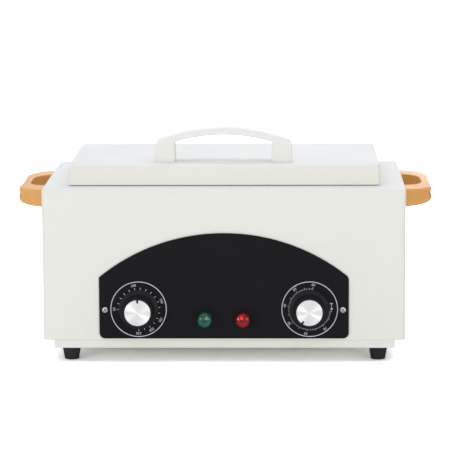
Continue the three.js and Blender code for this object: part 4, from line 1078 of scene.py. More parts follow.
# %% Feet
FOOT_TOP, FOOT_BOTTOM, FOOT_TAPER = 7.8 * mm, 6.1 * mm, 9.5 * mm
FOOT_TOP_EDGE, FOOT_BOTTOM_EDGE, FOOT_SWELL = 0.4 * mm, 0.9 * mm, 6.0 * mm
FOOT_RECESS, FOOT_RECESS_DEPTH, FOOT_STEPS = 3.85 * mm, 7.0 * mm, 64
for name in foot_names:
    node = "foot_" + name
    low, high, middle = box_of(node)
    height = high.z - low.z
    path = rounded([
        (FOOT_RECESS, 0, SOFT_EDGE), (FOOT_BOTTOM, 0, FOOT_BOTTOM_EDGE),
        (FOOT_TOP, FOOT_TAPER, FOOT_SWELL), (FOOT_TOP, height, FOOT_TOP_EDGE),
        (SCREW_BORE, height), (SCREW_BORE, FOOT_RECESS_DEPTH), (FOOT_RECESS, FOOT_RECESS_DEPTH),
    ])
    mesh = moved(turned(path, FOOT_STEPS, True), middle.x, middle.y, low.z)
    seat(piece(node + "_fine", mesh, rubber), "case", "rubber", node)

# %% [markdown]
# The control panel is a thin plate with an arched top. The corner where the arch meets the left side is
# crisp, and the other three are round. Its print is a pair of scales, made as a film of ink further down.

# %% Control panel
PANEL_SIDE, PANEL_ARCH, PANEL_CORNER = 52.8 * mm, 38.0 * mm, 5.0 * mm
ARCH_CORNER, ARCH_STEPS = 6.0 * mm, 72
PANEL_EDGE = 0.2 * mm
low, high, middle = box_of("control_panel")
half = (high.x - low.x) / 2
radius = arc_radius(half, PANEL_ARCH)
tilt = asin(half / radius)
arch = arc(PANEL_SIDE + PANEL_ARCH - radius, radius, pi / 2 - tilt, pi / 2 + tilt, ARCH_STEPS)
foot_path = rounded([
    (-half, PANEL_SIDE), (-half, 0, PANEL_CORNER), (half, 0, PANEL_CORNER),
    (half, PANEL_SIDE, ARCH_CORNER), arch[1],
], 10)
outline = foot_path[1:-1] + arch[1:]
mesh = soft_plate(outline, low.y, high.y, PANEL_EDGE, middle.x, low.z, 2)
control_panel = piece("control_panel_fine", mesh, panel_black)
holes = bmesh.new()
for node, radius in round_holes.items():
    bore([node], radius + HOLE_ROOM, low.y - OVERRUN, high.y + OVERRUN, "y", holes)
seat(flat_normals(cut(control_panel, holes)), "case", "panel_black", "control_panel")
panel_face = low.y

# %% [markdown]
# All the screws have a domed head with a cross pressed into it, and the walls of the cross are coloured
# dark brown. Each screw is drawn upright with its head on top, and its size is read from its node: the
# head is the widest part, and the length is the longest side of the box.

# %% Screw tools
# A dark brown for the walls of the screws' crosses.
dark_cross = finish(
    "dark_cross", (92, 80, 66), (58, 50, 42), 900.0, 0.5, 0.8, 3000.0, 0.00004, Metallic=0.6,
)
# shares of the head's radius, then of its height
HEAD_RISE_SHARE, CROSS_REACH_SHARE, CROSS_WIDTH_SHARE = 0.58, 0.66, 0.22
DOME_SHARE, CROSS_FLOOR_SHARE, DARK_CROSS_TOP_SHARE = 0.8, 0.35, 0.93
HEAD_EDGE = 0.2 * mm
THREAD_PITCH, THREAD_DEPTH = 0.7 * mm, 0.22 * mm
# shares of the shank's radius
TIP_SHARE, TIP_LENGTH_SHARE = 0.7, 0.4
TURN_STEPS = 40
SLACK = 0.01


def cross_outline(reach, width):
    """A cross with four equal arms, as a closed outline."""
    arm = [Vector((reach, -width / 2)), Vector((reach, width / 2)), Vector((width / 2, width / 2))]
    return [Matrix.Rotation(pi / 2 * turn, 2) @ point for turn in range(4) for point in arm]


def threaded(shank, length):
    """The side view of a screw's shank, from its tip at the bottom up to its head."""
    path = [(0, -length), (shank * TIP_SHARE, -length)]
    for i in range(int((length - 2 * shank) / THREAD_PITCH)):
        turn_z = -length + shank * TIP_LENGTH_SHARE + i * THREAD_PITCH
        path += [(shank - THREAD_DEPTH, turn_z), (shank, turn_z + THREAD_PITCH / 2)]
    last = path[-1][1]
    return path + [(shank - THREAD_DEPTH, last + THREAD_PITCH / 2), (shank, last + THREAD_PITCH)]


def screw_piece(node, body, way, shank, skew):
    """A screw in the place of a node. Its head points along way, one of the six axis directions."""
    low, high, middle = box_of(node)
    way = Vector(way)
    axis = max(range(3), key=lambda i: abs(way[i]))
    head = max((high - low)[(axis + 1) % 3], (high - low)[(axis + 2) % 3]) / 2
    rise = head * HEAD_RISE_SHARE
    path = threaded(shank, (high - low)[axis] - rise)
    path += rounded([(shank, 0), (head, 0, HEAD_EDGE), (head, rise, rise * DOME_SHARE), (0, rise)], 6)
    screw = piece(node + "_fine", turned(path, TURN_STEPS), zinc_steel)
    floor_z, reach = rise * CROSS_FLOOR_SHARE, head * CROSS_REACH_SHARE
    cut(screw, prism(cross_outline(reach, head * CROSS_WIDTH_SHARE), floor_z, rise + mm, "z"))
    # The walls of the cross are coloured dark brown.
    screw.data.materials.append(dark_cross)
    for face in screw.data.polygons:
        within = face.center.xy.length < reach * (1 + SLACK)
        in_depth = floor_z * (1 - SLACK) < face.center.z < rise * DARK_CROSS_TOP_SHARE
        face.material_index = int(within and in_depth)
    turn = way.to_track_quat("Z", "Y").to_matrix().to_4x4() @ Matrix.Rotation(radians(skew), 4, "Z")
    seat_place = middle.copy()
    seat_place[axis] = (low if way[axis] < 0 else high)[axis] - way[axis] * rise
    screw.data.transform(Matrix.Translation(seat_place) @ turn)
    seat(screw, body, "zinc_steel", node)


# %% [markdown]
# Two screws hold the panel, and four hold the feet from below. The handles' six are put in from inside, so
# their heads are hidden. A real screw stops wherever it is tight, so the crosses don't stand straight.

# %% Screws
SMALL_SHANK, LARGE_SHANK = 1.5 * mm, 2.0 * mm
screw_piece("panel_screw_left", "case", (0, -1, 0), SMALL_SHANK, 28)
screw_piece("panel_screw_right", "case", (0, -1, 0), SMALL_SHANK, -37)
for name in foot_names:
    screw_piece("foot_screw_" + name, "case", (0, 0, -1), LARGE_SHANK, 14)
for side, side_name in SIDES:
    screw_piece("lid_handle_screw_" + side_name, "lid", (0, 0, -1), LARGE_SHANK, 33)
    for end in ("front", "rear"):
        screw_piece(f"side_handle_screw_{end}_{side_name}", "case", (-side, 0, 0), LARGE_SHANK, -20)

# %% [markdown]
# Two hinges carry the lid. Each has a standing leaf on the lid's back, a lying leaf on the case and a pin
# through the knuckles between them. The leaves are stamped from sheet, so their corners are round, and two
# rivets with domed heads hold each one. All lengths are taken from the pin's middle line.

# %% Hinge tools
LEAF_HALF, LEAF_CORNER, LEAF_EDGE = 17.0 * mm, 1.8 * mm, 0.15 * mm
LEAF_NEAR, LEAF_FAR = -3.15 * mm, -1.95 * mm
# lower edge, upper edge and rivets
LID_LEAF_HEIGHTS, CASE_LEAF_HEIGHTS = (3.5 * mm, 11.0 * mm, 7.3 * mm), (3.5 * mm, 8.6 * mm, 6.0 * mm)
KNUCKLE_RADIUS, PIN_ROOM, KNUCKLE_EDGE = 3.0 * mm, 1.4 * mm, 0.25 * mm
ROOT_HALF, TAB_START = 7.75 * mm, 8.0 * mm
RIVET_SPREAD, RIVET_RADIUS, RIVET_RISE, RIVET_DOME = 11.5 * mm, 1.7 * mm, 0.75 * mm, 0.7 * mm
RIVET_STEPS = 28
PIN_RADIUS, PIN_HEAD, PIN_HEAD_START, PIN_END = 1.3 * mm, 2.4 * mm, 17.25 * mm, 18.25 * mm
PIN_DOME = 0.6 * mm
ALONG = Matrix.Rotation(radians(90), 4, "Y")
BACKWARD = Matrix.Rotation(radians(-90), 4, "X")
LYING = Matrix(((1, 0, 0, 0), (0, 0, 1, 0), (0, 1, 0, 0), (0, 0, 0, 1)))


def knuckle(start, end, mesh):
    """Adds a rolled barrel between two places along the pin."""
    path = rounded([
        (PIN_ROOM, start), (KNUCKLE_RADIUS, start, KNUCKLE_EDGE),
        (KNUCKLE_RADIUS, end, KNUCKLE_EDGE), (PIN_ROOM, end),
    ], 4)
    return turned(path, TURN_STEPS, True, mesh, ALONG)


def rivet(x, height, mesh):
    """Adds a rivet's domed head to a leaf that stands in front of the middle line."""
    path = rounded([
        (0, 0), (RIVET_RADIUS, 0), (RIVET_RADIUS, RIVET_RISE, RIVET_DOME), (0, RIVET_RISE),
    ])
    return turned(path, RIVET_STEPS, False, mesh, Matrix.Translation((x, LEAF_FAR, height)) @ BACKWARD)


def leaf(tabs, low, top, rivet_height):
    """A leaf with its knuckles. Tabs are (start, end) places along the pin, where the leaf reaches it."""
    mesh = bmesh.new()
    outline = []
    for start, end in tabs:
        outline += [(start, low), (start, 0), (end, 0), (end, low)]
        knuckle(start, end, mesh)
    outline = [(-LEAF_HALF, low)] + outline + [(LEAF_HALF, low)]
    outline = [p for i, p in enumerate(outline) if abs(p[0]) < LEAF_HALF or outline.count(p) == 1]
    outline += [(LEAF_HALF, top, LEAF_CORNER), (-LEAF_HALF, top, LEAF_CORNER)]
    soft_plate(rounded(outline, 6), LEAF_NEAR, LEAF_FAR, LEAF_EDGE, steps=2, mesh=mesh)
    for x in (-RIVET_SPREAD, RIVET_SPREAD):
        rivet(x, rivet_height, mesh)
    return mesh


# %% [markdown]
# The lid's leaf has one wide tab and the case's leaf has two narrow ones, so they mesh round the pin. Both
# are drawn upright, and the case's leaf is then laid down by swapping two axes.

# %% Hinges
# body: tabs, heights, turn
leaves = {
    "lid": ([(-ROOT_HALF, ROOT_HALF)], LID_LEAF_HEIGHTS, None),
    "case": ([(-LEAF_HALF, -TAB_START), (TAB_START, LEAF_HALF)], CASE_LEAF_HEIGHTS, LYING),
}
pin_path = rounded([
    (0, -PIN_END), (PIN_HEAD, -PIN_END, PIN_DOME), (PIN_HEAD, -PIN_HEAD_START, HEAD_EDGE),
    (PIN_RADIUS, -PIN_HEAD_START), (PIN_RADIUS, PIN_HEAD_START), (PIN_HEAD, PIN_HEAD_START, HEAD_EDGE),
    (PIN_HEAD, PIN_END, PIN_DOME), (0, PIN_END),
])
for side_name in ("left", "right"):
    pin_node = "hinge_pin_" + side_name
    axis = box_of(pin_node)[2]
    for body, (tabs, heights, turn) in leaves.items():
        node = f"hinge_{body}_leaf_{side_name}"
        mesh = moved(leaf(tabs, *heights), *axis, turn)
        seat(piece(node + "_fine", mesh, zinc_steel), body, "zinc_steel", node)
    mesh = moved(turned(pin_path, TURN_STEPS), *axis, ALONG)
    seat(piece(pin_node + "_fine", mesh, stainless), "case", "stainless", pin_node)

# %% [markdown]
# The mains inlet is a moulded socket with a soft flange. Two cut corners make sure that the plug goes in
# one way round only.

# %% Power inlet
FLANGE_WIDTH, FLANGE_HEIGHT, FLANGE_CORNER, FLANGE_SHEET = 32.4 * mm, 25.0 * mm, 2.25 * mm, 2.5 * mm
FLANGE_EDGE, FLANGE_BREAK = 0.7 * mm, 0.2 * mm
INLET_WALL, INLET_FLOOR = 2.7 * mm, 3.0 * mm
SOCKET_HALF_WIDTH, SOCKET_HALF_HEIGHT, SOCKET_CUT = 12.0 * mm, 8.3 * mm, 4.2 * mm
SOCKET_CORNER, CUT_CORNER = 1.0 * mm, 0.6 * mm
low, high, middle = box_of("power_inlet")
flange_back = high.y - FLANGE_SHEET
profile = [
    (INLET_WALL + SOFT_EDGE, low.y), (INLET_WALL, low.y + SOFT_EDGE), (INLET_WALL, flange_back),
    (0, flange_back), (0, high.y - FLANGE_EDGE), (FLANGE_BREAK, high.y - FLANGE_BREAK),
    (FLANGE_EDGE, high.y),
]
rings = rounds(FLANGE_WIDTH, FLANGE_HEIGHT, FLANGE_CORNER, profile, middle.xz, CUT_CORNER)
rings = [[(x, y, z) for x, z, y in ring] for ring in rings]
inlet = piece("power_inlet_fine", skin(rings), black_plastic)
x, z = SOCKET_HALF_WIDTH, SOCKET_HALF_HEIGHT
socket = rounded([
    (-x, -z, SOCKET_CORNER), (x, -z, SOCKET_CORNER), (x, z - SOCKET_CUT, CUT_CORNER),
    (x - SOCKET_CUT, z, CUT_CORNER), (SOCKET_CUT - x, z, CUT_CORNER), (-x, z - SOCKET_CUT, CUT_CORNER),
], 4)
hollow = prism(socket, low.y + INLET_FLOOR, high.y + OVERRUN, "y", middle.xz)
seat(flat_normals(cut(inlet, hollow)), "case", "black_plastic", "power_inlet")

# %% [markdown]
# The dials are what the hand touches. Each knob is black, with a sloping skirt and a neck that tapers
# slightly, and a spun aluminium cap is sunk into its face. A notch in the cap's rim is the pointer.

# %% Knobs
KNOB_STANDOFF, KNOB_REACH = 0.8 * mm, 17.4 * mm
SKIRT_RADIUS, SKIRT_HEIGHT, SKIRT_RIM, SKIRT_ROUND = 16.9 * mm, 2.9 * mm, 1.2 * mm, 0.4 * mm
NECK_RADIUS, NECK_ROUND, FACE_RADIUS, FACE_EDGE = 13.6 * mm, 0.8 * mm, 12.3 * mm, 0.5 * mm
CAP_RADIUS, CAP_PROUD, CAP_DEPTH, CAP_ROOM = 11.0 * mm, 0.6 * mm, 1.2 * mm, 0.25 * mm
CAP_EDGE, SEAT_EDGE = 0.35 * mm, 0.15 * mm
POCKET_RADIUS, POCKET_DEPTH = 10.5 * mm, 6.0 * mm
BORE_RADIUS, BORE_DEPTH = 3.25 * mm, 13.0 * mm
DIAL_STEPS = 128


def on_panel(x, z):
    """Takes what is turned round the z axis to a place on the panel, with its top to the front."""
    return Matrix.Translation((x, panel_face, z)) @ FORWARD


front = KNOB_REACH - CAP_PROUD
cap_seat = KNOB_REACH - CAP_DEPTH - CAP_ROOM
path = rounded([
    (BORE_RADIUS, POCKET_DEPTH), (POCKET_RADIUS, POCKET_DEPTH), (POCKET_RADIUS, KNOB_STANDOFF),
    (SKIRT_RADIUS, KNOB_STANDOFF, SKIRT_ROUND), (SKIRT_RADIUS, KNOB_STANDOFF + SKIRT_RIM, SKIRT_ROUND),
    (NECK_RADIUS, KNOB_STANDOFF + SKIRT_HEIGHT, NECK_ROUND), (FACE_RADIUS, front, FACE_EDGE),
    (CAP_RADIUS + CAP_ROOM, front, SEAT_EDGE), (CAP_RADIUS + CAP_ROOM, cap_seat), (0, cap_seat),
    (0, BORE_DEPTH), (BORE_RADIUS, BORE_DEPTH),
], 6)
dial_places = {dial: box_of(dial + "_knob")[2].xz for dial in ("temperature", "timer")}
for dial, place in dial_places.items():
    node = dial + "_knob"
    mesh = turned(path, DIAL_STEPS, True, place=on_panel(*place))
    seat(piece(node + "_fine", mesh, black_plastic), dial + "_dial", "black_plastic", node)

# %% [markdown]
# The cap is a turned disc. It could share the knob's mesh, but a bright metal and a black moulding are two
# parts, so it is a piece of its own. A small block, turned to the pointer's angle, cuts the notch.

# %% Knob caps
NOTCH_WIDTH, NOTCH_DEPTH = 1.8 * mm, 2.5 * mm
pointer_turns = {"temperature": 0.0, "timer": radians(145.7)}
path = rounded([
    (0, KNOB_REACH - CAP_DEPTH), (CAP_RADIUS, KNOB_REACH - CAP_DEPTH),
    (CAP_RADIUS, KNOB_REACH, CAP_EDGE), (0, KNOB_REACH),
], 4)
half, notch_low, notch_high = NOTCH_WIDTH / 2, CAP_RADIUS - NOTCH_DEPTH, CAP_RADIUS + mm
outline = [(-half, notch_low), (half, notch_low), (half, notch_high), (-half, notch_high)]
for dial, turn in pointer_turns.items():
    node = dial + "_knob_cap"
    x, z = dial_places[dial]
    spun = spun_finish("spun_" + dial, (x, 0, z))
    cap = piece(node + "_fine", turned(path, DIAL_STEPS, place=on_panel(x, z)), spun)
    notch = prism(outline, panel_face - 2 * KNOB_REACH, panel_face, "y")
    cut(cap, moved(notch, x, 0, z, Matrix.Rotation(-turn, 4, "Y")))
    seat(flat_normals(cap), dial + "_dial", "spun_aluminium", node)

# %% [markdown]
# The scales are screen printed: a ring round each dial, ticks, and plain numbers that stand with their
# tops outwards. A print could be painted by the panel's material, but numbers are far easier as shapes.
# So the ink is a film a few hundredths of a millimetre thick, and each scale is one mesh.

# %% Print tools
INK, INK_LIFT = 0.03 * mm, 0.01 * mm
RING_RADIUS, RING_WIDTH, RING_STEPS = 23.6 * mm, 0.65 * mm, 160
NUMBER_HEIGHT, NUMBER_SPACING = 3.0 * mm, 1.05


def polar(degrees, radius):
    """A place at an angle and a radius from the dial's middle."""
    return radius * Vector((cos(radians(degrees)), sin(radians(degrees))))


def stroke(start, end, width):
    """A straight stroke between two places, as an outline."""
    out = (end - start).normalized()
    side = Vector((-out.y, out.x)) * width / 2
    return [start - side, end - side, end + side, start + side]


def tick(degrees, start, end, width):
    """A short radial stroke."""
    return stroke(polar(degrees, start), polar(degrees, end), width)


def add_number(text, degrees, radius, x, z, mesh):
    """Adds a printed number with its top outwards."""
    curve = bpy.data.curves.new("number", "FONT")
    curve.body = text
    curve.size = NUMBER_HEIGHT
    curve.align_x = "CENTER"
    curve.align_y = "CENTER"
    curve.extrude = INK / 2
    curve.space_character = NUMBER_SPACING
    holder = bpy.data.objects.new("number", curve)
    scene.collection.objects.link(holder)
    graph = bpy.context.evaluated_depsgraph_get()
    flat = bpy.data.meshes.new_from_object(holder.evaluated_get(graph))
    out = polar(degrees, radius)
    lift = Matrix.Translation((x + out.x, panel_face - INK_LIFT - INK / 2, z + out.y))
    flat.transform(lift @ Matrix.Rotation(radians(90 - degrees), 4, "Y") @ FORWARD)
    mesh.from_mesh(flat)
    bpy.data.objects.remove(holder)
    bpy.data.meshes.remove(flat)
    bpy.data.curves.remove(curve)


def print_scale(dial, outlines, numbers, radius, shift=0.0):
    """Prints a dial's scale: a ring, outlines, and numbers with their angles, at a radius."""
    x, z = dial_places[dial]
    x += shift
    path = [(RING_RADIUS - RING_WIDTH / 2, INK_LIFT), (RING_RADIUS + RING_WIDTH / 2, INK_LIFT)]
    path += [(r, INK_LIFT + INK) for r, _ in reversed(path)]
    mesh = turned(path, RING_STEPS, True, place=on_panel(x, z))
    for outline in outlines:
        prism(outline, panel_face - INK_LIFT - INK, panel_face - INK_LIFT, "y", (x, z), mesh)
    for text, degrees in numbers.items():
        add_number(text, degrees, radius, x, z, mesh)
    seat(piece(dial + "_scale", mesh, print_white), "case", "white_paint")


# %% [markdown]
# The temperature scale's ticks have an even step. Its numbers don't quite, so they stand at the angles
# that the photograph shows.

# %% Temperature scale
NUMBER_RADIUS = 20.7 * mm
TICK_START, TICK_END, TICK_WIDTH = 16.4 * mm, 18.6 * mm, 0.45 * mm
TICKS, FIRST_TICK, LAST_TICK = 18, 180.0, -90.0
tick_step = (LAST_TICK - FIRST_TICK) / (TICKS - 1)
ticks = [tick(FIRST_TICK + i * tick_step, TICK_START, TICK_END, TICK_WIDTH) for i in range(TICKS)]
numbers = {"50": 180.0, "100": 102.0, "150": 20.5, "180": -25.6, "200": -57.7, "220": -90.0}
print_scale("temperature", ticks, numbers, NUMBER_RADIUS)

# %% [markdown]
# The timer's scale runs backwards, from 60 minutes down to zero, because the knob is wound up and then
# creeps back. A dot marks zero, and a bar beside it is the hold place, where the clock doesn't run.

# %% Timer scale
MINUTES, LONG_EVERY = 60, 5
SIXTY_DEGREES, ZERO_DEGREES, HOLD_DEGREES, ZERO_GAP = 81.6, 361.0, 374.0, 7.0
MINUTE_START, MINUTE_END, LONG_END, MINUTE_WIDTH = 17.0 * mm, 18.2 * mm, 19.0 * mm, 0.36 * mm
TIMER_NUMBER_RADIUS, SCALE_SHIFT = 21.2 * mm, 0.35 * mm
DOT_PLACE_RADIUS, DOT_RADIUS, DOT_STEPS = 18.6 * mm, 1.0 * mm, 24
HOLD_RADIUS, HOLD_LINE_WIDTH, HOLD_BAR_LENGTH, HOLD_BAR_WIDTH = 18.9 * mm, 0.5 * mm, 2.8 * mm, 0.6 * mm
outlines = []
for minute in range(MINUTES + 1):
    degrees = SIXTY_DEGREES + (ZERO_DEGREES - ZERO_GAP - SIXTY_DEGREES) * (1 - minute / MINUTES)
    end = MINUTE_END if minute % LONG_EVERY else LONG_END
    outlines.append(tick(degrees, MINUTE_START, end, MINUTE_WIDTH))
dot_place = polar(ZERO_DEGREES, DOT_PLACE_RADIUS)
hold_place = polar(HOLD_DEGREES, HOLD_RADIUS)
bar_end = hold_place + (hold_place - dot_place).normalized() * HOLD_BAR_WIDTH
outlines += [
    [dot_place + Vector(point) for point in circle(DOT_STEPS, DOT_RADIUS)],
    stroke(dot_place, hold_place, HOLD_LINE_WIDTH), stroke(hold_place, bar_end, HOLD_BAR_LENGTH),
]
numbers = {"60": 81.6, "50": 127.0, "40": 171.8, "30": 215.5, "20": 261.3, "10": 308.0}
print_scale("timer", outlines, numbers, TIMER_NUMBER_RADIUS, SCALE_SHIFT)

# %% [markdown]
# An indicator lamp is a clear coloured moulding with a softly domed end, hollow from behind. Fine ribs
# inside catch the light, and a pale cup in the hollow throws it back to the front. A small neon bulb
# stands on the cup's grey base, and its emission is a painted glint. Both lamps have the same shape, so it
# is drawn once.

# %% Lamp shapes
LAMP_RADIUS, LAMP_REACH, LAMP_STEPS = 6.1 * mm, 12.0 * mm, 96
LAMP_WALL, LAMP_STEM, LAMP_STEM_LENGTH = 1.1 * mm, 4.4 * mm, 20.0 * mm
# the shoulder: its fall below the tip, and its rounding outside and in the hollow
SHOULDER_FALL, SHOULDER_ROUND, HOLLOW_ROUND = 1.6 * mm, 2.0 * mm, 1.2 * mm
# the dome's edge: its fall, and its radius and rounding outside and in the hollow
DOME_FALL, DOME_OUTSIDE, DOME_INSIDE = 0.3 * mm, (3.2 * mm, 5.0 * mm), (2.6 * mm, 3.0 * mm)
HOLLOW_FOOT, STEM_FOOT = 1.2 * mm, 0.6 * mm
RIBS, RIB_DEPTH = 24, 0.10 * mm
CUP_RADIUS, CUP_BASE, CUP_SHEET, CUP_FLOOR, CUP_TOP = 4.3 * mm, 3.8 * mm, 0.25 * mm, 1.6 * mm, 9.2 * mm
BULB_RADIUS, BULB_TOP, BULB_DOME = 1.1 * mm, 6.8 * mm, 1.0 * mm
CUP_STEPS, BULB_STEPS = 64, 32
lamp_cup = finish(
    "lamp_cup", (206, 208, 206), (186, 188, 186), 300.0, 0.35, 0.5, 1500.0, 0.00003,
)
lamp_base = finish(
    "lamp_base", (112, 114, 112), (92, 94, 92), 300.0, 0.5, 0.6, 1500.0, 0.00003,
)
inner_radius, inner_reach, inner_stem = (s - LAMP_WALL for s in (LAMP_RADIUS, LAMP_REACH, LAMP_STEM))
outside = rounded([
    (LAMP_STEM, -LAMP_STEM_LENGTH), (LAMP_STEM, HOLE_ROOM), (LAMP_RADIUS, HOLE_ROOM, SOFT_EDGE),
    (LAMP_RADIUS, LAMP_REACH - SHOULDER_FALL, SHOULDER_ROUND),
    (DOME_OUTSIDE[0], LAMP_REACH - DOME_FALL, DOME_OUTSIDE[1]), (0, LAMP_REACH),
], 10)
hollow = rounded([
    (0, inner_reach), (DOME_INSIDE[0], inner_reach - DOME_FALL, DOME_INSIDE[1]),
    (inner_radius, inner_reach - SHOULDER_FALL, HOLLOW_ROUND), (inner_radius, HOLLOW_FOOT),
    (inner_stem, STEM_FOOT), (inner_stem, -LAMP_STEM_LENGTH),
], 6)
turns = [2 * pi * i / LAMP_STEPS for i in range(LAMP_STEPS)]
lamp_rings = []
for path, rib_depth in ((outside, 0), (hollow, RIB_DEPTH)):
    for radius, height in path:
        depth = rib_depth if radius > LAMP_STEM else 0
        ring = [(max(radius - depth * (1 + cos(RIBS * a)) / 2, TINY), a) for a in turns]
        lamp_rings.append([(r * cos(a), r * sin(a), height) for r, a in ring])
cup_path = [
    (0, CUP_FLOOR), (CUP_BASE, CUP_FLOOR), (CUP_RADIUS - CUP_SHEET, CUP_TOP), (CUP_RADIUS, CUP_TOP),
    (CUP_RADIUS, CUP_FLOOR - CUP_SHEET), (0, CUP_FLOOR - CUP_SHEET),
]
bulb_path = rounded([(BULB_RADIUS, CUP_FLOOR), (BULB_RADIUS, BULB_TOP, BULB_DOME), (0, BULB_TOP)], 8)

# %% [markdown]
# Each bulb has its own place, colour and strength, because the two lamps show different glints in the
# photograph. The bulb's emission is a painted glint, set so that a warm spot shows through each coloured
# lens. The rest is the same twice, so a loop makes both.

# %% Indicator lamps
# shift in x and z, colour, strength of the painted glint
bulbs = {
    "green": (1.5 * mm, 1.0 * mm, (255, 34, 26), 24.0),
    "red": (-1.2 * mm, 1.4 * mm, (255, 150, 80), 1.8),
}
for colour_name, (shift_x, shift_z, glint_colour, strength) in bulbs.items():
    node, lens_name = "indicator_lamp_" + colour_name, colour_name + "_lens"
    x, z = box_of(node)[2].xz
    mesh = moved(skin(lamp_rings, joined=True), x, panel_face, z, FORWARD)
    seat(piece(node + "_fine", mesh, finishes[lens_name]), "case", lens_name, node)
    cup = piece(node + "_cup", turned(cup_path, CUP_STEPS, place=on_panel(x, z)), lamp_cup)
    cup.data.materials.append(lamp_base)
    for face in cup.data.polygons:
        face.material_index = int(hypot(face.center.x - x, face.center.z - z) < CUP_BASE)
    seat(cup, "case", "ceramic")
    # The bulb's emission paints a glint that shows through the coloured lens.
    painted_glint = finish(
        "painted_glint_bulb_" + colour_name, (255, 190, 120), (255, 160, 90), 300.0, 0.15, 0.25, 1500.0, 0.00002,
        Emission_Color=linear(glint_colour), Emission_Strength=strength,
    )
    mesh = turned(bulb_path, BULB_STEPS, place=on_panel(x + shift_x, z + shift_z))
    seat(piece(node + "_bulb", mesh, painted_glint), "case", "ceramic")

# %% [markdown]
# The tank is a pressed stainless pan that hangs in the mouth of the case by its rim. Its corners are wide
# and its floor runs into the walls with a soft radius, so that it wipes clean.

# %% Tank
TANK_SHEET, TANK_RIM, TANK_DEPTH = 0.6 * mm, 9.0 * mm, 45.0 * mm
TANK_CORNER, TANK_EDGE, TANK_LIP, TANK_RIM_EDGE = 14.0 * mm, 5.0 * mm, 0.8 * mm, 0.2 * mm
STUD_RADIUS, STUD_LENGTH = 2.0 * mm, 11.0 * mm
low, high, middle = box_of("tank")
floor_z = high.z - TANK_DEPTH
under_z = floor_z - TANK_SHEET
wall = TANK_RIM + TANK_SHEET
path = rounded([
    (wall + 2 * TANK_EDGE, floor_z), (wall, floor_z, TANK_EDGE), (wall, high.z, TANK_LIP),
    (0, high.z, TANK_RIM_EDGE), (0, high.z - TANK_SHEET), (TANK_RIM, high.z - TANK_SHEET, SOFT_EDGE),
    (TANK_RIM, under_z, TANK_EDGE + TANK_SHEET), (wall + 2 * TANK_EDGE, under_z),
], 7)
mesh = skin(rounds(high.x - low.x, high.y - low.y, TANK_CORNER + wall, path, middle.xy))
nuts = ["heater_nut_" + side for side in ("left", "right")]
bore(nuts, STUD_RADIUS, under_z - STUD_LENGTH, floor_z - TANK_SHEET / 2, "z", mesh)
seat(flat_normals(piece("tank_fine", mesh, stainless)), "case", "stainless", "tank")

# %% [markdown]
# The instrument tray stands in the tank. Its floor is pierced so that warm air moves round the tools, and
# a slotted lug at each end lifts it out.

# %% Instrument tray
TRAY_SHEET, TRAY_CORNER, TRAY_HEIGHT = 0.8 * mm, 8.0 * mm, 20.0 * mm
TRAY_INNER_ROUND, TRAY_OUTER_ROUND = 1.2 * mm, 2.0 * mm
HOLE_COLUMNS, HOLE_ROWS, HOLE_RADIUS = 7, 3, 3.0 * mm
HOLE_END_INSET, HOLE_SIDE_INSET = 29.0 * mm, 25.0 * mm
LUG_WIDTH, LUG_CORNER = 34.0 * mm, 3.0 * mm
LUG_SLOT = (22.0 * mm, 6.0 * mm, 2.0 * mm)
low, high, middle = box_of("instrument_tray")
rim_z, inset = low.z + TRAY_HEIGHT, 6 * TRAY_SHEET
path = rounded([
    (inset, low.z + TRAY_SHEET), (TRAY_SHEET, low.z + TRAY_SHEET, TRAY_INNER_ROUND),
    (TRAY_SHEET, rim_z, SOFT_EDGE), (0, rim_z, SOFT_EDGE), (0, low.z, TRAY_OUTER_ROUND), (inset, low.z),
])
tray = pan("instrument_tray", path, TRAY_CORNER, stainless)
holes = bmesh.new()
across_x = high.x - low.x - 2 * HOLE_END_INSET
across_y = high.y - low.y - 2 * HOLE_SIDE_INSET
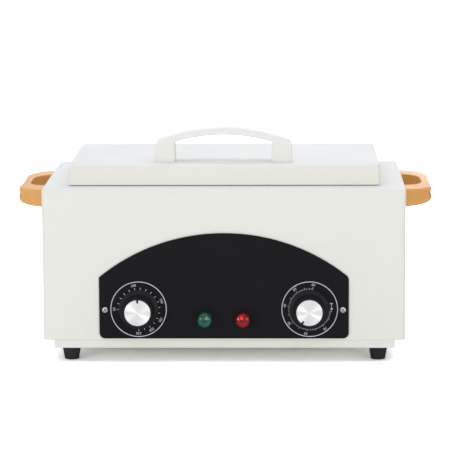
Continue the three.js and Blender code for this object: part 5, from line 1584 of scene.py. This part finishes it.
for column in range(HOLE_COLUMNS):
    for row in range(HOLE_ROWS):
        x = low.x + HOLE_END_INSET + column * across_x / (HOLE_COLUMNS - 1)
        y = low.y + HOLE_SIDE_INSET + row * across_y / (HOLE_ROWS - 1)
        prism(circle(BORE_STEPS, HOLE_RADIUS), low.z - OVERRUN, low.z + OVERRUN, "z", (x, y), holes)
seat(flat_normals(cut(tray, holes)), "case", "stainless", "instrument_tray")

# %% [markdown]
# A lug is a tab of sheet with a slot for a hook. It could be drawn out of the pan's own rim, but a plate
# in line with the end wall looks the same and keeps the pan simple.

# %% Tray lugs
half, lug_low = LUG_WIDTH / 2, low.z + TRAY_HEIGHT / 2
lug_outline = rounded([
    (-half, lug_low), (half, lug_low), (half, high.z, LUG_CORNER), (-half, high.z, LUG_CORNER),
], 6)
slot_at = (middle.y, high.z - LUG_SLOT[1])
for side, side_name in SIDES:
    outer_x = low.x if side < 0 else high.x
    mesh = prism(lug_outline, outer_x, outer_x - side * TRAY_SHEET, "x", (middle.y, 0))
    lug_slot = prism(rectangle(*LUG_SLOT), outer_x - mm, outer_x + mm, "x", slot_at)
    seat(cut(piece("tray_lug_" + side_name, mesh, stainless), lug_slot), "case", "stainless")

# %% [markdown]
# With the lid up its underside shows: a stainless liner with a soft rim that fits inside the painted pan.

# %% Lid liner
LINER_SHEET, LINER_CORNER = 0.6 * mm, 1.6 * mm
LINER_INNER_ROUND, LINER_OUTER_ROUND, LINER_INSET = 0.4 * mm, 1.0 * mm, 4 * mm
low, high, middle = box_of("lid_liner")
path = rounded([
    (LINER_INSET, low.z), (0, low.z, LINER_OUTER_ROUND), (0, high.z), (LINER_SHEET, high.z),
    (LINER_SHEET, low.z + LINER_SHEET, LINER_INNER_ROUND), (LINER_INSET, low.z + LINER_SHEET),
])
liner = pan("lid_liner", path, LINER_CORNER, stainless)
seat(flat_normals(liner), "lid", "stainless", "lid_liner")

# %% [markdown]
# The pieces that keep the frame's own shape still get a finish. Each slot of the record has one material,
# and a node takes the material of its slot.

# %% Carried-over nodes
finishes["spun_aluminium"] = stainless
for part in frame["record"]["subparts"]:
    node = frame["nodes"][part["node"]]
    node.data.materials.clear()
    node.data.materials.append(finishes[part["material_slot"]])
print(len(made_pieces), "pieces made")
